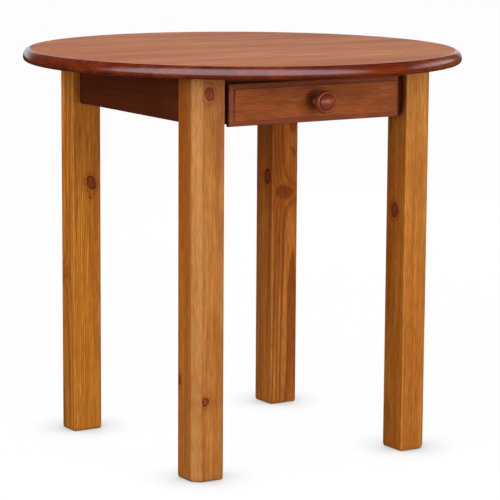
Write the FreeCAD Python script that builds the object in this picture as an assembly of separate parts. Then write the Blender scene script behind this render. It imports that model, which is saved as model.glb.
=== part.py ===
import FreeCAD, Part
import math
import os

# Round tavern table: a staved top on a square base of four chamfered legs, three aprons,
# a built-up front rail and one drawer with a turned knob.
# Millimetres. +Z is up and the floor is z = 0. The table's centre is x = y = 0, and the
# drawer opens towards -Y.

Vector = FreeCAD.Vector
UP = Vector(0, 0, 1)

# ---- Overall sizes ---------------------------------------------------------------------
TABLE_HEIGHT = 730.0
TOP_DIAMETER = 800.0
BASE_WIDTH = 500.0  # over the outer faces of the legs, along X
BASE_DEPTH = 500.0  # over the outer faces of the legs, along Y

# ---- Tabletop --------------------------------------------------------------------------
TOP_THICKNESS = 22.5
STAVE_COUNT = 8  # boards glued edge to edge, running along X
EDGE_UPPER_REACH = 12.0  # how far in from the rim the large upper roundover starts
EDGE_LOWER_REACH = 7.0  # the same for the small lower roundover
EDGE_LOWER_DEPTH = 9.0  # height of the small roundover; the large one takes the rest

# ---- Legs ------------------------------------------------------------------------------
LEG_SIZE = 59.0
LEG_CHAMFER = 14.0  # on the outer corner, over the whole length
LEG_ARRIS = 3.0  # softened edges and foot
LEG_SEAT = 12.0  # inner corner cut away where the corner block lands

# ---- Aprons and front rail -------------------------------------------------------------
APRON_HEIGHT = 86.0
APRON_THICKNESS = 20.0
APRON_INSET = 16.0  # set back from the outer faces of the legs
APRON_ARRIS = 5.0  # lower outer edge
RAIL_UPPER_HEIGHT = 20.0  # strip of the front rail over the drawer
RAIL_LOWER_HEIGHT = 12.0  # strip under the drawer

# ---- Corner blocks and their fastenings --------------------------------------------------
BLOCK_THICKNESS = 20.0  # square to its diagonal face
BLOCK_HEIGHT = 62.0
BLOCK_SCREW_OFFSET = 16.0  # from the block's sharp end near the leg, along the apron
BLOCK_SCREW_RECESS = 4.3  # how deep its head sits below the diagonal face
BLOCK_SCREW_DEPTH = 14.0  # into the apron
TOP_SCREW_OFFSET = 15.0  # either side of the block's middle
TOP_SCREW_SEAT = 16.0  # wood of the block between the screw's head and the top
TOP_SCREW_DEPTH = 15.0  # into the tabletop
HANGER_RADIUS = 4.0
HANGER_DEPTH = 45.0  # into the leg
HANGER_STAND_OFF = 14.0  # thread that stands out of the block
WASHER_RADIUS = 9.0
WASHER_THICKNESS = 1.6
NUT_ACROSS_FLATS = 13.0
NUT_HEIGHT = 6.5
NUT_FACETS = 6
THREAD_CHAMFER = 1.0

# ---- Dowels ----------------------------------------------------------------------------
APRON_DOWEL_RADIUS = 4.0
APRON_DOWEL_REACH = 19.0  # to each side of the joint
APRON_DOWEL_EDGE = 22.0  # from the apron's upper and lower edges
RUNNER_DOWEL_RADIUS = 3.0
RUNNER_DOWEL_REACH = 12.0
DOWEL_END_PLAY = 0.5  # left at each end of a dowel's hole

# ---- Drawer ways: runner, guide and kicker -------------------------------------------------
RUNNER_WIDTH = 26.0
GUIDE_THICKNESS = 12.0
GUIDE_HEIGHT = 24.0  # above the runner
BLOCK_TO_GUIDE = 1.0
KICKER_SCREW_DEPTH = 15.0  # into the tabletop
KICKER_SCREW_END = 60.0  # from each end of the kicker

# ---- Drawer ----------------------------------------------------------------------------
FRONT_END_GAP = 12.0  # between the drawer front and the leg beside it
FRONT_THICKNESS = 12.0  # over the raised field
FRONT_DROP = 4.0  # how far the drawer front hangs below the apron
FRONT_TOP_GAP = 15.5  # left open under the tabletop
FRONT_LIP = 9.5  # width of the moulded lip round the raised field
FRONT_STEP = 3.0  # how far the field stands out of the lip
FRONT_ROUND = 4.0  # the lip's outer edge
SIDE_THICKNESS = 12.0
SIDE_CLEARANCE = 1.0  # beside each drawer side
SLIDE_GAP = 0.3  # under the drawer sides, and behind the drawer front
LIFT_CLEARANCE = 2.0  # between the drawer sides and the kickers
DRAWER_BACK_SPACE = 60.0  # left free behind the closed drawer
BOTTOM_THICKNESS = 4.0
BOTTOM_RAISE = 8.0  # wood left under the groove
GROOVE_DEPTH = 5.0
GROOVE_PLAY = 0.15
BOX_SCREW_LOW = 18.0  # height of the lower screws above the drawer sides' lower edges
BOX_SCREW_TOP = 9.0  # distance of the upper screws from the upper edges
BOX_SCREW_DEPTH = 18.0  # into the end grain of the drawer's front and back
FRONT_SCREW_INSET = 40.0  # in from the inner faces of the drawer's sides
FRONT_SCREW_DEPTH = 8.0  # into the drawer front

# ---- Knob ------------------------------------------------------------------------------
KNOB_RADIUS = 20.3
KNOB_BASE_RADIUS = 10.0
KNOB_NECK_RADIUS = 7.5
KNOB_WAIST_HOLLOW = 0.6  # how far the foot's flare dips below a straight taper
KNOB_RIM_BACK_RADIUS = 17.4  # the rim rounds over at its back and its front
KNOB_RIM_FRONT_RADIUS = 17.4
KNOB_FACE_RADIUS = 14.8  # the raised dome inside the rim
KNOB_NECK_FROM = 3.0  # distances from the drawer front
KNOB_NECK_TO = 9.0
KNOB_RIM_FROM = 20.5
KNOB_RIM_TO = 31.7
KNOB_FACE_FROM = 33.7
KNOB_PROJECTION = 41.5
KNOB_SCREW_RADIUS = 2.0
KNOB_SCREW_DEPTH = 18.0

# ---- Screws ----------------------------------------------------------------------------
SCREW_RADIUS = 2.0
SCREW_HEAD_RADIUS = 4.0
SCREW_HEAD_HEIGHT = 2.6  # of a pan head
SCREW_TIP = 3.0
SCREW_TIP_RADIUS = 0.4
HEAD_PLAY = 0.8  # around a recessed head
HEAD_SINK = 0.2  # a countersunk head lies this far under the surface
DRIVE_LENGTH = 4.0  # cross recess in the head
DRIVE_WIDTH = 0.9
DRIVE_DEPTH = 0.9
FIT = 0.1  # radial clearance of a dowel, bolt or screw in its hole

# ---- Worked-out places -------------------------------------------------------------------
leg_height = TABLE_HEIGHT - TOP_THICKNESS
apron_bottom = leg_height - APRON_HEIGHT
apron_middle = leg_height - APRON_HEIGHT / 2
apron_inner = APRON_INSET + APRON_THICKNESS  # all measured in from the legs' outer faces
half_width = BASE_WIDTH / 2
half_depth = BASE_DEPTH / 2
front_y = -half_depth
back_y = half_depth
front_rail_face = front_y + APRON_INSET
front_rail_inner = front_y + apron_inner
back_apron_inner = back_y - apron_inner
window_bottom = apron_bottom + RAIL_LOWER_HEIGHT
window_top = leg_height - RAIL_UPPER_HEIGHT
root_two = math.sqrt(2)

# The corner block is a strip between two diagonal planes, u + v = const in the corner's axes.
block_outer_sum = 2 * LEG_SIZE - LEG_SEAT
block_inner_sum = block_outer_sum + BLOCK_THICKNESS * root_two
block_near = block_outer_sum - apron_inner  # where it meets the apron, from the outer face
block_far = block_inner_sum - apron_inner
block_bottom = leg_height - BLOCK_HEIGHT

# The drawer's ways start just clear of the corner blocks, so they follow legs and blocks.
guide_outer_x = half_width - block_far - BLOCK_TO_GUIDE
window_half = guide_outer_x - GUIDE_THICKNESS
runner_inner_x = guide_outer_x - RUNNER_WIDTH
side_outer_x = window_half - SIDE_CLEARANCE
side_inner_x = side_outer_x - SIDE_THICKNESS

drawer_half = half_width - LEG_SIZE - FRONT_END_GAP
drawer_front_back = front_rail_face - SLIDE_GAP
drawer_front_face = drawer_front_back - FRONT_THICKNESS
drawer_front_bottom = apron_bottom - FRONT_DROP
drawer_front_top = leg_height - FRONT_TOP_GAP
drawer_end = back_apron_inner - DRAWER_BACK_SPACE
side_bottom = window_bottom + SLIDE_GAP
side_top = window_top - LIFT_CLEARANCE
panel_bottom = side_bottom + BOTTOM_RAISE
panel_top = panel_bottom + BOTTOM_THICKNESS
box_screw_levels = (side_bottom + BOX_SCREW_LOW, side_top - BOX_SCREW_TOP)
knob_z = (drawer_front_bottom + drawer_front_top) / 2

CORNERS = {
    "front_left": (-1, -1),
    "front_right": (1, -1),
    "back_left": (-1, 1),
    "back_right": (1, 1),
}
SIDES = {"left": -1, "right": 1}


# ---- Plain shapes --------------------------------------------------------------------------
def box(x_range, y_range, z_range):
    """A box between two values along each axis, given in either order."""
    spans = [sorted(pair) for pair in (x_range, y_range, z_range)]
    sizes = [high - low for low, high in spans]
    return Part.makeBox(*sizes, Vector(*[low for low, high in spans]))


def prism(points, z_low, z_high):
    """An upright prism over a closed outline of (x, y) points."""
    corners = [Vector(x, y, z_low) for x, y in points]
    outline = Part.makePolygon(corners + corners[:1])
    return Part.Face(outline).extrude(UP * (z_high - z_low))


def rod(start, direction, radius, length):
    return Part.makeCylinder(radius, length, start, direction)


def taper(start, direction, radius_start, radius_end, length):
    return Part.makeCone(radius_start, radius_end, length, start, direction)


def joined(shapes):
    """One clean solid from shapes that overlap or touch."""
    first, rest = shapes[0], shapes[1:]
    return first.fuse(rest).removeSplitter()


def group(shapes):
    return Part.makeCompound(shapes)


def edges_where(shape, test):
    """The edges whose middle passes the test."""
    return [edge for edge in shape.Edges if test(edge.CenterOfMass)]


def near(value, target):
    tolerance = 0.01
    return abs(value - target) < tolerance


def drilled(shape, holes):
    """The shape less every hole that comes near it."""
    tools = [hole for hole in holes if hole.BoundBox.intersect(shape.BoundBox)]
    if not tools:
        return shape
    return shape.cut(tools)


def corner_point(corner, u, v, z):
    """A point measured in from a leg's two outer faces: u along X and v along Y."""
    sign_x, sign_y = CORNERS[corner]
    return Vector(sign_x * (half_width - u), sign_y * (half_depth - v), z)


def corner_direction(corner, u, v):
    """A level direction in a corner's axes; positive u and v point to the table's middle."""
    sign_x, sign_y = CORNERS[corner]
    return Vector(-sign_x * u, -sign_y * v, 0).normalize()


def corner_prism(corner, outline, z_low, z_high):
    points = [corner_point(corner, u, v, 0) for u, v in outline]
    return prism([(p.x, p.y) for p in points], z_low, z_high)


# ---- Fasteners and the holes they need -------------------------------------------------------
def cross_recess(start, direction):
    """The cross-shaped tool recess in a screw's head."""
    half = DRIVE_LENGTH / 2
    arm = DRIVE_WIDTH / 2
    bars = [
        box((-half, half), (-arm, arm), (0, DRIVE_DEPTH)),
        box((-arm, arm), (-half, half), (0, DRIVE_DEPTH)),
    ]
    cross = joined(bars)
    cross.Placement = FreeCAD.Placement(start, FreeCAD.Rotation(UP, direction))
    return cross


def screw_body(start, direction, length, grow=0.0):
    """A screw's shank and point, from under its head; grow makes the hole for it."""
    straight = length - SCREW_TIP
    shank = rod(start, direction, SCREW_RADIUS + grow, straight)
    tip_start = start + direction * straight
    widths = (SCREW_RADIUS + grow, SCREW_TIP_RADIUS + grow)
    return [shank, taper(tip_start, direction, *widths, SCREW_TIP + grow)]


def pan_screw(seat, direction, length):
    """A round-headed screw whose head rests on the seat point and whose shank runs on."""
    head_start = seat - direction * SCREW_HEAD_HEIGHT
    head = rod(head_start, direction, SCREW_HEAD_RADIUS, SCREW_HEAD_HEIGHT)
    rim = edges_where(head, lambda c: near((c - head_start).Length, 0))
    head = head.makeFillet(SCREW_HEAD_HEIGHT / 2, rim)
    screw = joined([head] + screw_body(seat, direction, length))
    return screw.cut(cross_recess(head_start, direction))


def pan_screw_hole(seat, direction, length, head_room):
    """The screw's hole, with a wider bore of the given depth behind the head's seat."""
    shapes = screw_body(seat, direction, length, FIT)
    if head_room:
        bore_start = seat - direction * head_room
        shapes.append(rod(bore_start, direction, SCREW_HEAD_RADIUS + HEAD_PLAY, head_room))
    return joined(shapes)


def countersunk_screw(surface, direction, length):
    """A flat-headed screw, sunk just under the surface that it is driven from."""
    top = surface + direction * HEAD_SINK
    head_height = SCREW_HEAD_RADIUS - SCREW_RADIUS
    head = taper(top, direction, SCREW_HEAD_RADIUS, SCREW_RADIUS, head_height)
    neck = top + direction * head_height
    screw = joined([head] + screw_body(neck, direction, length - head_height))
    return screw.cut(cross_recess(top, direction))


def countersunk_hole(surface, direction, length):
    """The countersunk screw's hole: its cone grown by the fit and run on to the surface."""
    top = surface + direction * HEAD_SINK
    head_height = SCREW_HEAD_RADIUS - SCREW_RADIUS
    mouth = rod(surface - direction * HEAD_SINK, direction, SCREW_HEAD_RADIUS + FIT, 2 * HEAD_SINK)
    cone = taper(top, direction, SCREW_HEAD_RADIUS + FIT, SCREW_RADIUS + FIT, head_height)
    neck = top + direction * head_height
    return joined([mouth, cone] + screw_body(neck, direction, length - head_height, FIT))


def apron_dowel_places():
    """Middle and direction of each dowel between an apron and a leg."""
    middle = APRON_INSET + APRON_THICKNESS / 2
    levels = (apron_bottom + APRON_DOWEL_EDGE, leg_height - APRON_DOWEL_EDGE)
    places = []
    for corner in CORNERS:
        along_x = corner_direction(corner, 1, 0)
        along_y = corner_direction(corner, 0, 1)
        for z in levels:
            places.append((corner_point(corner, middle, LEG_SIZE, z), along_y))
            places.append((corner_point(corner, LEG_SIZE, middle, z), along_x))
    return places


def runner_dowel_places():
    """Middle and direction of each dowel at the ends of the drawer runners."""
    x = guide_outer_x - RUNNER_WIDTH / 2
    z = apron_bottom + RAIL_LOWER_HEIGHT / 2
    ends = (front_rail_inner, back_apron_inner)
    return [(Vector(sign * x, y, z), Vector(0, 1, 0)) for sign in SIDES.values() for y in ends]


def dowels(places, radius, reach):
    """Round pegs, half in each of the two pieces they join."""
    return [rod(middle - axis * reach, axis, radius, 2 * reach) for middle, axis in places]


def dowel_holes(places, radius, reach):
    return dowels(places, radius + FIT, reach + DOWEL_END_PLAY)


def hanger_axis(corner):
    """Where the hanger bolt leaves the block's inner face, and its direction inwards."""
    middle = block_inner_sum / 2
    return corner_point(corner, middle, middle, apron_middle), corner_direction(corner, 1, 1)


def hanger_bolt(corner):
    face, inwards = hanger_axis(corner)
    length = HANGER_DEPTH + BLOCK_THICKNESS + HANGER_STAND_OFF
    bolt = rod(face + inwards * HANGER_STAND_OFF, -inwards, HANGER_RADIUS, length)
    rims = [edge for edge in bolt.Edges if edge.isClosed()]
    return bolt.makeChamfer(THREAD_CHAMFER, rims)


def hanger_hole(corner):
    face, inwards = hanger_axis(corner)
    length = HANGER_DEPTH + BLOCK_THICKNESS + FIT
    return rod(face, -inwards, HANGER_RADIUS + FIT, length)


def hanger_washer(corner):
    face, inwards = hanger_axis(corner)
    disc = rod(face, inwards, WASHER_RADIUS, WASHER_THICKNESS)
    return disc.cut(rod(face, inwards, HANGER_RADIUS + FIT, WASHER_THICKNESS))


def hanger_nut(corner):
    face, inwards = hanger_axis(corner)
    radius = NUT_ACROSS_FLATS / 2 / math.cos(math.pi / NUT_FACETS)
    turns = [2 * math.pi * n / NUT_FACETS for n in range(NUT_FACETS)]
    blank = prism([(radius * math.cos(t), radius * math.sin(t)) for t in turns], 0, NUT_HEIGHT)
    nut = blank.cut(rod(Vector(0, 0, 0), UP, HANGER_RADIUS + FIT, NUT_HEIGHT))
    seat = face + inwards * WASHER_THICKNESS
    nut.Placement = FreeCAD.Placement(seat, FreeCAD.Rotation(UP, inwards))
    return nut


def block_screw_places():
    """Seat and direction of each screw that holds a corner block to an apron."""
    along = block_near + BLOCK_SCREW_OFFSET
    seat = block_inner_sum - along - BLOCK_SCREW_RECESS
    places = []
    for corner in CORNERS:
        z = leg_height - BLOCK_HEIGHT / 2
        places.append((corner_point(corner, seat, along, z), corner_direction(corner, -1, 0)))
        places.append((corner_point(corner, along, seat, z), corner_direction(corner, 0, -1)))
    return places


def block_screw_length():
    """From the head's seat, through the block and into the apron."""
    seat = block_far - block_near - BLOCK_SCREW_OFFSET - BLOCK_SCREW_RECESS
    return seat + BLOCK_SCREW_DEPTH


def top_screw_places():
    """Seat of each upright screw that goes through a corner block into the tabletop."""
    middle = (block_outer_sum + block_inner_sum) / 4
    shift = TOP_SCREW_OFFSET / root_two
    z = leg_height - TOP_SCREW_SEAT
    places = []
    for corner in CORNERS:
        for side in (-1, 1):
            places.append(corner_point(corner, middle + side * shift, middle - side * shift, z))
    return places


def kicker_screw_places():
    """Points on the kickers' lower faces where their screws are driven upwards."""
    x = guide_outer_x - RUNNER_WIDTH / 2
    ends = (front_rail_inner + KICKER_SCREW_END, 0.0, back_apron_inner - KICKER_SCREW_END)
    return [Vector(sign * x, y, window_top) for sign in SIDES.values() for y in ends]


def box_screw_places():
    """Points on the drawer sides' outer faces, beside the ends of its front and back."""
    middles = (drawer_front_back + SIDE_THICKNESS / 2, drawer_end - SIDE_THICKNESS / 2)
    places = []
    for sign in SIDES.values():
        for y in middles:
            for z in box_screw_levels:
                places.append((Vector(sign * side_outer_x, y, z), Vector(-sign, 0, 0)))
    return places


def front_screw_places():
    """Seats on the inner face of the drawer box's front."""
    y = drawer_front_back + SIDE_THICKNESS
    half = side_inner_x - FRONT_SCREW_INSET
    return [Vector(side * half, y, z) for side in (-1, 1) for z in box_screw_levels]


top_screw_length = TOP_SCREW_SEAT + TOP_SCREW_DEPTH
kicker_screw_length = RAIL_UPPER_HEIGHT + KICKER_SCREW_DEPTH
box_screw_length = SIDE_THICKNESS + BOX_SCREW_DEPTH
front_screw_length = SIDE_THICKNESS + FRONT_SCREW_DEPTH
knob_screw_length = SIDE_THICKNESS + FRONT_THICKNESS + KNOB_SCREW_DEPTH
FORWARDS = Vector(0, -1, 0)


def knob_screw(grow=0.0):
    """The machine screw that pulls the knob on from inside the drawer, or the hole for it."""
    seat = Vector(0, drawer_front_back + SIDE_THICKNESS, knob_z)
    shank = rod(seat, FORWARDS, KNOB_SCREW_RADIUS + grow, knob_screw_length + grow)
    if grow:
        return shank
    head_start = seat - FORWARDS * SCREW_HEAD_HEIGHT
    head = rod(head_start, FORWARDS, SCREW_HEAD_RADIUS, SCREW_HEAD_HEIGHT)
    rim = edges_where(head, lambda c: near((c - head_start).Length, 0))
    head = head.makeFillet(SCREW_HEAD_HEIGHT / 2, rim)
    return joined([head, shank]).cut(cross_recess(head_start, FORWARDS))


def table_holes():
    """Every hole in the fixed part of the table."""
    holes = dowel_holes(apron_dowel_places(), APRON_DOWEL_RADIUS, APRON_DOWEL_REACH)
    holes += dowel_holes(runner_dowel_places(), RUNNER_DOWEL_RADIUS, RUNNER_DOWEL_REACH)
    holes += [hanger_hole(corner) for corner in CORNERS]
    for seat, direction in block_screw_places():
        holes.append(pan_screw_hole(seat, direction, block_screw_length(), BLOCK_THICKNESS))
    for seat in top_screw_places():
        holes.append(pan_screw_hole(seat, UP, top_screw_length, BLOCK_HEIGHT))
    for surface in kicker_screw_places():
        holes.append(countersunk_hole(surface, UP, kicker_screw_length))
    return holes


def drawer_holes():
    """Every hole in the drawer."""
    holes = [knob_screw(FIT)]
    for surface, direction in box_screw_places():
        holes.append(countersunk_hole(surface, direction, box_screw_length))
    for seat in front_screw_places():
        holes.append(pan_screw_hole(seat, FORWARDS, front_screw_length, 0.0))
    return holes


# ---- Tabletop ------------------------------------------------------------------------------
def quarter_oval(centre, end_a, end_b):
    """A quarter of an ellipse about centre, between two points on its axes."""
    longer, shorter = end_a, end_b
    if (end_b - centre).Length > (end_a - centre).Length:
        longer, shorter = end_b, end_a
    oval = Part.Ellipse(longer, shorter, centre)
    return Part.ArcOfEllipse(oval, 0, math.pi / 2).toShape()


def tabletop_disc():
    """The whole round top: flat faces and an edge of two quarter ovals."""
    rim = TOP_DIAMETER / 2
    widest = leg_height + EDGE_LOWER_DEPTH
    flat_above = rim - EDGE_UPPER_REACH
    flat_below = rim - EDGE_LOWER_REACH
    above = Vector(flat_above, 0, TABLE_HEIGHT)
    below = Vector(flat_below, 0, leg_height)
    widest_point = Vector(rim, 0, widest)
    edges = [
        Part.makeLine(Vector(0, 0, leg_height), Vector(0, 0, TABLE_HEIGHT)),
        Part.makeLine(Vector(0, 0, TABLE_HEIGHT), above),
        quarter_oval(Vector(flat_above, 0, widest), above, widest_point),
        quarter_oval(Vector(flat_below, 0, widest), below, widest_point),
        Part.makeLine(below, Vector(0, 0, leg_height)),
    ]
    return Part.Face(Part.Wire(edges)).revolve(Vector(0, 0, 0), UP, 360)


def tabletop_staves(holes):
    """The disc sawn into its boards, numbered from the drawer side to the back."""
    disc = tabletop_disc()
    rim = TOP_DIAMETER / 2
    width = TOP_DIAMETER / STAVE_COUNT
    staves = {}
    for n in range(STAVE_COUNT):
        start = n * width - rim
        board = box((-rim, rim), (start, start + width), (leg_height, TABLE_HEIGHT))
        staves[f"tabletop_stave_{n + 1}"] = drilled(disc.common(board), holes)
    return staves


# ---- Base ----------------------------------------------------------------------------------
def leg(corner, holes):
    """A square post: outer corner chamfered, arrises softened, seat cut for the block."""
    outline = [
        (LEG_CHAMFER, 0),
        (LEG_SIZE, 0),
        (LEG_SIZE, LEG_SIZE),
        (0, LEG_SIZE),
        (0, LEG_CHAMFER),
    ]
    post = corner_prism(corner, outline, 0, leg_height)
    soft = edges_where(post, lambda c: near(c.z, leg_height / 2) or near(c.z, 0))
    post = post.makeFillet(LEG_ARRIS, soft)
    seat_side = block_outer_sum - LEG_SIZE
    seat = [(LEG_SIZE, LEG_SIZE), (seat_side, LEG_SIZE), (LEG_SIZE, seat_side)]
    post = post.cut(corner_prism(corner, seat, block_bottom, leg_height))
    return drilled(post, holes)


def side_apron(sign, holes):
    """Apron along Y between a front and a back leg."""
    outer = sign * (half_width - APRON_INSET)
    inner = sign * (half_width - apron_inner)
    end = half_depth - LEG_SIZE
    board = box((outer, inner), (-end, end), (apron_bottom, leg_height))
    soft = edges_where(board, lambda c: near(c.z, apron_bottom) and near(c.x, outer))
    return drilled(board.makeFillet(APRON_ARRIS, soft), holes)


def back_apron(holes):
    """Apron along X between the two back legs."""
    outer = back_y - APRON_INSET
    end = half_width - LEG_SIZE
    board = box((-end, end), (outer, back_apron_inner), (apron_bottom, leg_height))
    soft = edges_where(board, lambda c: near(c.z, apron_bottom) and near(c.y, outer))
    return drilled(board.makeFillet(APRON_ARRIS, soft), holes)


def front_rail(holes):
    """The front apron, glued up from four pieces around the drawer's window."""
    end = half_width - LEG_SIZE
    y_range = (front_rail_face, front_rail_inner)
    upper = box((-end, end), y_range, (window_top, leg_height))
    lower = box((-end, end), y_range, (apron_bottom, window_bottom))
    soft = edges_where(lower, lambda c: near(c.z, apron_bottom) and near(c.y, front_rail_face))
    pieces = {"front_rail_upper": upper, "front_rail_lower": lower.makeFillet(APRON_ARRIS, soft)}
    for side, sign in SIDES.items():
        filler = box((sign * window_half, sign * end), y_range, (window_bottom, window_top))
        pieces[f"front_rail_end_{side}"] = filler
    return {name: drilled(piece, holes) for name, piece in pieces.items()}


def corner_block(corner, holes):
    """A block across the corner, glued and screwed to both aprons."""
    outline = [
        (apron_inner, block_near),
        (apron_inner, block_far),
        (block_far, apron_inner),
        (block_near, apron_inner),
    ]
    return drilled(corner_prism(corner, outline, block_bottom, leg_height), holes)


def drawer_ways(side, sign, holes):
    """The strip the drawer side slides on, the one beside it and the one above it."""
    y_range = (front_rail_inner, back_apron_inner)
    wide = (sign * runner_inner_x, sign * guide_outer_x)
    narrow = (sign * window_half, sign * guide_outer_x)
    pieces = {
        f"drawer_runner_{side}": box(wide, y_range, (apron_bottom, window_bottom)),
        f"drawer_guide_{side}": box(narrow, y_range, (window_bottom, window_bottom + GUIDE_HEIGHT)),
        f"drawer_kicker_{side}": box(wide, y_range, (window_top, leg_height)),
    }
    return {name: drilled(piece, holes) for name, piece in pieces.items()}


# ---- Drawer --------------------------------------------------------------------------------
def drawer_front(holes):
    """The board that covers the window: a raised field inside a rounded lip."""
    lip_face = drawer_front_face + FRONT_STEP
    board = box(
        (-drawer_half, drawer_half),
        (lip_face, drawer_front_back),
        (drawer_front_bottom, drawer_front_top),
    )
    outer = edges_where(board, lambda c: near(c.y, lip_face))
    half = drawer_half - FRONT_LIP
    field = box(
        (-half, half),
        (drawer_front_face, drawer_front_back),
        (drawer_front_bottom + FRONT_LIP, drawer_front_top - FRONT_LIP),
    )
    return drilled(joined([board.makeFillet(FRONT_ROUND, outer), field]), holes)


def bottom_groove():
    """The groove that runs round the inside of the drawer for its bottom."""
    reach = side_inner_x + GROOVE_DEPTH
    front = drawer_front_back + SIDE_THICKNESS - GROOVE_DEPTH
    back = drawer_end - SIDE_THICKNESS + GROOVE_DEPTH
    levels = (panel_bottom - GROOVE_PLAY, panel_top + GROOVE_PLAY)
    return box((-reach, reach), (front, back), levels)


def drawer_side(sign, holes):
    thickness = (sign * side_inner_x, sign * side_outer_x)
    board = box(thickness, (drawer_front_back, drawer_end), (side_bottom, side_top))
    return drilled(board.cut(bottom_groove()), holes)


def drawer_cross_board(y_start, holes):
    """The drawer box's front or back, between its sides."""
    width = (-side_inner_x, side_inner_x)
    board = box(width, (y_start, y_start + SIDE_THICKNESS), (side_bottom, side_top))
    return drilled(board.cut(bottom_groove()), holes)


def drawer_bottom():
    """The thin panel, resting in the groove on all four sides."""
    reach = side_inner_x + GROOVE_DEPTH - GROOVE_PLAY
    front = drawer_front_back + SIDE_THICKNESS - GROOVE_DEPTH + GROOVE_PLAY
    back = drawer_end - SIDE_THICKNESS + GROOVE_DEPTH - GROOVE_PLAY
    rest = panel_bottom - GROOVE_PLAY
    return box((-reach, reach), (front, back), (rest, rest + BOTTOM_THICKNESS))


def knob_point(radius, distance):
    """A point of the knob's profile: radius from its axis, distance from the drawer front."""
    return Vector(radius, drawer_front_face - distance, knob_z)


def knob_arc(start, through, end):
    return Part.Arc(knob_point(*start), knob_point(*through), knob_point(*end)).toShape()


def drawer_knob(holes):
    """Turned knob: foot, waist, flared back, rounded rim, fine step and domed face."""
    foot = (KNOB_BASE_RADIUS, KNOB_NECK_FROM)
    waist_low = (KNOB_NECK_RADIUS, KNOB_NECK_TO)
    waist_mid = (
        (KNOB_BASE_RADIUS + KNOB_NECK_RADIUS) / 2 - KNOB_WAIST_HOLLOW,
        (KNOB_NECK_FROM + KNOB_NECK_TO) / 2,
    )
    rim_low = (KNOB_RIM_BACK_RADIUS, KNOB_RIM_FROM)
    span = KNOB_RIM_BACK_RADIUS - KNOB_NECK_RADIUS
    rise = KNOB_RIM_FROM - KNOB_NECK_TO
    flare = (KNOB_NECK_RADIUS + span * (1 - 1 / root_two), KNOB_NECK_TO + rise / root_two)
    rim_high = (KNOB_RIM_FRONT_RADIUS, KNOB_RIM_TO)
    rim_mid = (KNOB_RADIUS, (KNOB_RIM_FROM + KNOB_RIM_TO) / 2)
    step_low = (KNOB_FACE_RADIUS, KNOB_RIM_TO)
    step_high = (KNOB_FACE_RADIUS, KNOB_FACE_FROM)
    dome_height = KNOB_PROJECTION - KNOB_FACE_FROM
    dome_radius = (KNOB_FACE_RADIUS**2 + dome_height**2) / (2 * dome_height)
    half_angle = math.asin(KNOB_FACE_RADIUS / dome_radius) / 2
    dome_mid = (
        dome_radius * math.sin(half_angle),
        KNOB_PROJECTION - dome_radius * (1 - math.cos(half_angle)),
    )
    apex = (0.0, KNOB_PROJECTION)
    straight = [
        ((0.0, 0.0), (KNOB_BASE_RADIUS, 0.0)),
        ((KNOB_BASE_RADIUS, 0.0), foot),
        (rim_high, step_low),
        (step_low, step_high),
        (apex, (0.0, 0.0)),
    ]
    lines = [Part.makeLine(knob_point(*a), knob_point(*b)) for a, b in straight]
    edges = lines[:2]
    edges.append(knob_arc(foot, waist_mid, waist_low))
    edges.append(knob_arc(waist_low, flare, rim_low))
    edges.append(knob_arc(rim_low, rim_mid, rim_high))
    edges += lines[2:4]
    edges.append(knob_arc(step_high, dome_mid, apex))
    edges.append(lines[4])
    turned = Part.Face(Part.Wire(edges)).revolve(knob_point(0, 0), FORWARDS, 360)
    return drilled(turned, holes)


# ---- The whole table -------------------------------------------------------------------------
def table_nodes():
    """Every fixed piece."""
    holes = table_holes()
    nodes = tabletop_staves(holes)
    for corner in CORNERS:
        nodes[f"leg_{corner}"] = leg(corner, holes)
        nodes[f"corner_block_{corner}"] = corner_block(corner, holes)
    for side, sign in SIDES.items():
        nodes[f"apron_{side}"] = side_apron(sign, holes)
        nodes.update(drawer_ways(side, sign, holes))
    nodes["apron_back"] = back_apron(holes)
    nodes.update(front_rail(holes))
    nodes["apron_dowels"] = group(dowels(apron_dowel_places(), APRON_DOWEL_RADIUS, APRON_DOWEL_REACH))
    nodes["runner_dowels"] = group(dowels(runner_dowel_places(), RUNNER_DOWEL_RADIUS, RUNNER_DOWEL_REACH))
    nodes["hanger_bolts"] = group([hanger_bolt(corner) for corner in CORNERS])
    nodes["hanger_bolt_washers"] = group([hanger_washer(corner) for corner in CORNERS])
    nodes["hanger_bolt_nuts"] = group([hanger_nut(corner) for corner in CORNERS])
    block_screws = [pan_screw(seat, way, block_screw_length()) for seat, way in block_screw_places()]
    nodes["corner_block_screws"] = group(block_screws)
    nodes["tabletop_screws"] = group([pan_screw(p, UP, top_screw_length) for p in top_screw_places()])
    kicker_screws = [countersunk_screw(p, UP, kicker_screw_length) for p in kicker_screw_places()]
    nodes["kicker_screws"] = group(kicker_screws)
    return nodes


def drawer_nodes():
    """Every piece that slides out with the drawer."""
    holes = drawer_holes()
    nodes = {"drawer_front": drawer_front(holes)}
    for side, sign in SIDES.items():
        nodes[f"drawer_side_{side}"] = drawer_side(sign, holes)
    nodes["drawer_box_front"] = drawer_cross_board(drawer_front_back, holes)
    nodes["drawer_back"] = drawer_cross_board(drawer_end - SIDE_THICKNESS, holes)
    nodes["drawer_bottom"] = drawer_bottom()
    nodes["drawer_knob"] = drawer_knob(holes)
    nodes["knob_screw"] = knob_screw()
    box_screws = [countersunk_screw(p, way, box_screw_length) for p, way in box_screw_places()]
    nodes["drawer_box_screws"] = group(box_screws)
    front_screws = [pan_screw(p, FORWARDS, front_screw_length) for p in front_screw_places()]
    nodes["drawer_front_screws"] = group(front_screws)
    return nodes


def main():
    os.makedirs("parts", exist_ok=True)
    nodes = table_nodes()
    nodes.update(drawer_nodes())
    for name, shape in nodes.items():
        shape.exportStep(f"parts/{name}.step")
        print(f"{name}: {len(shape.Solids)} solids, {shape.Volume / 1000:.1f} cm3")


main()
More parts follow.
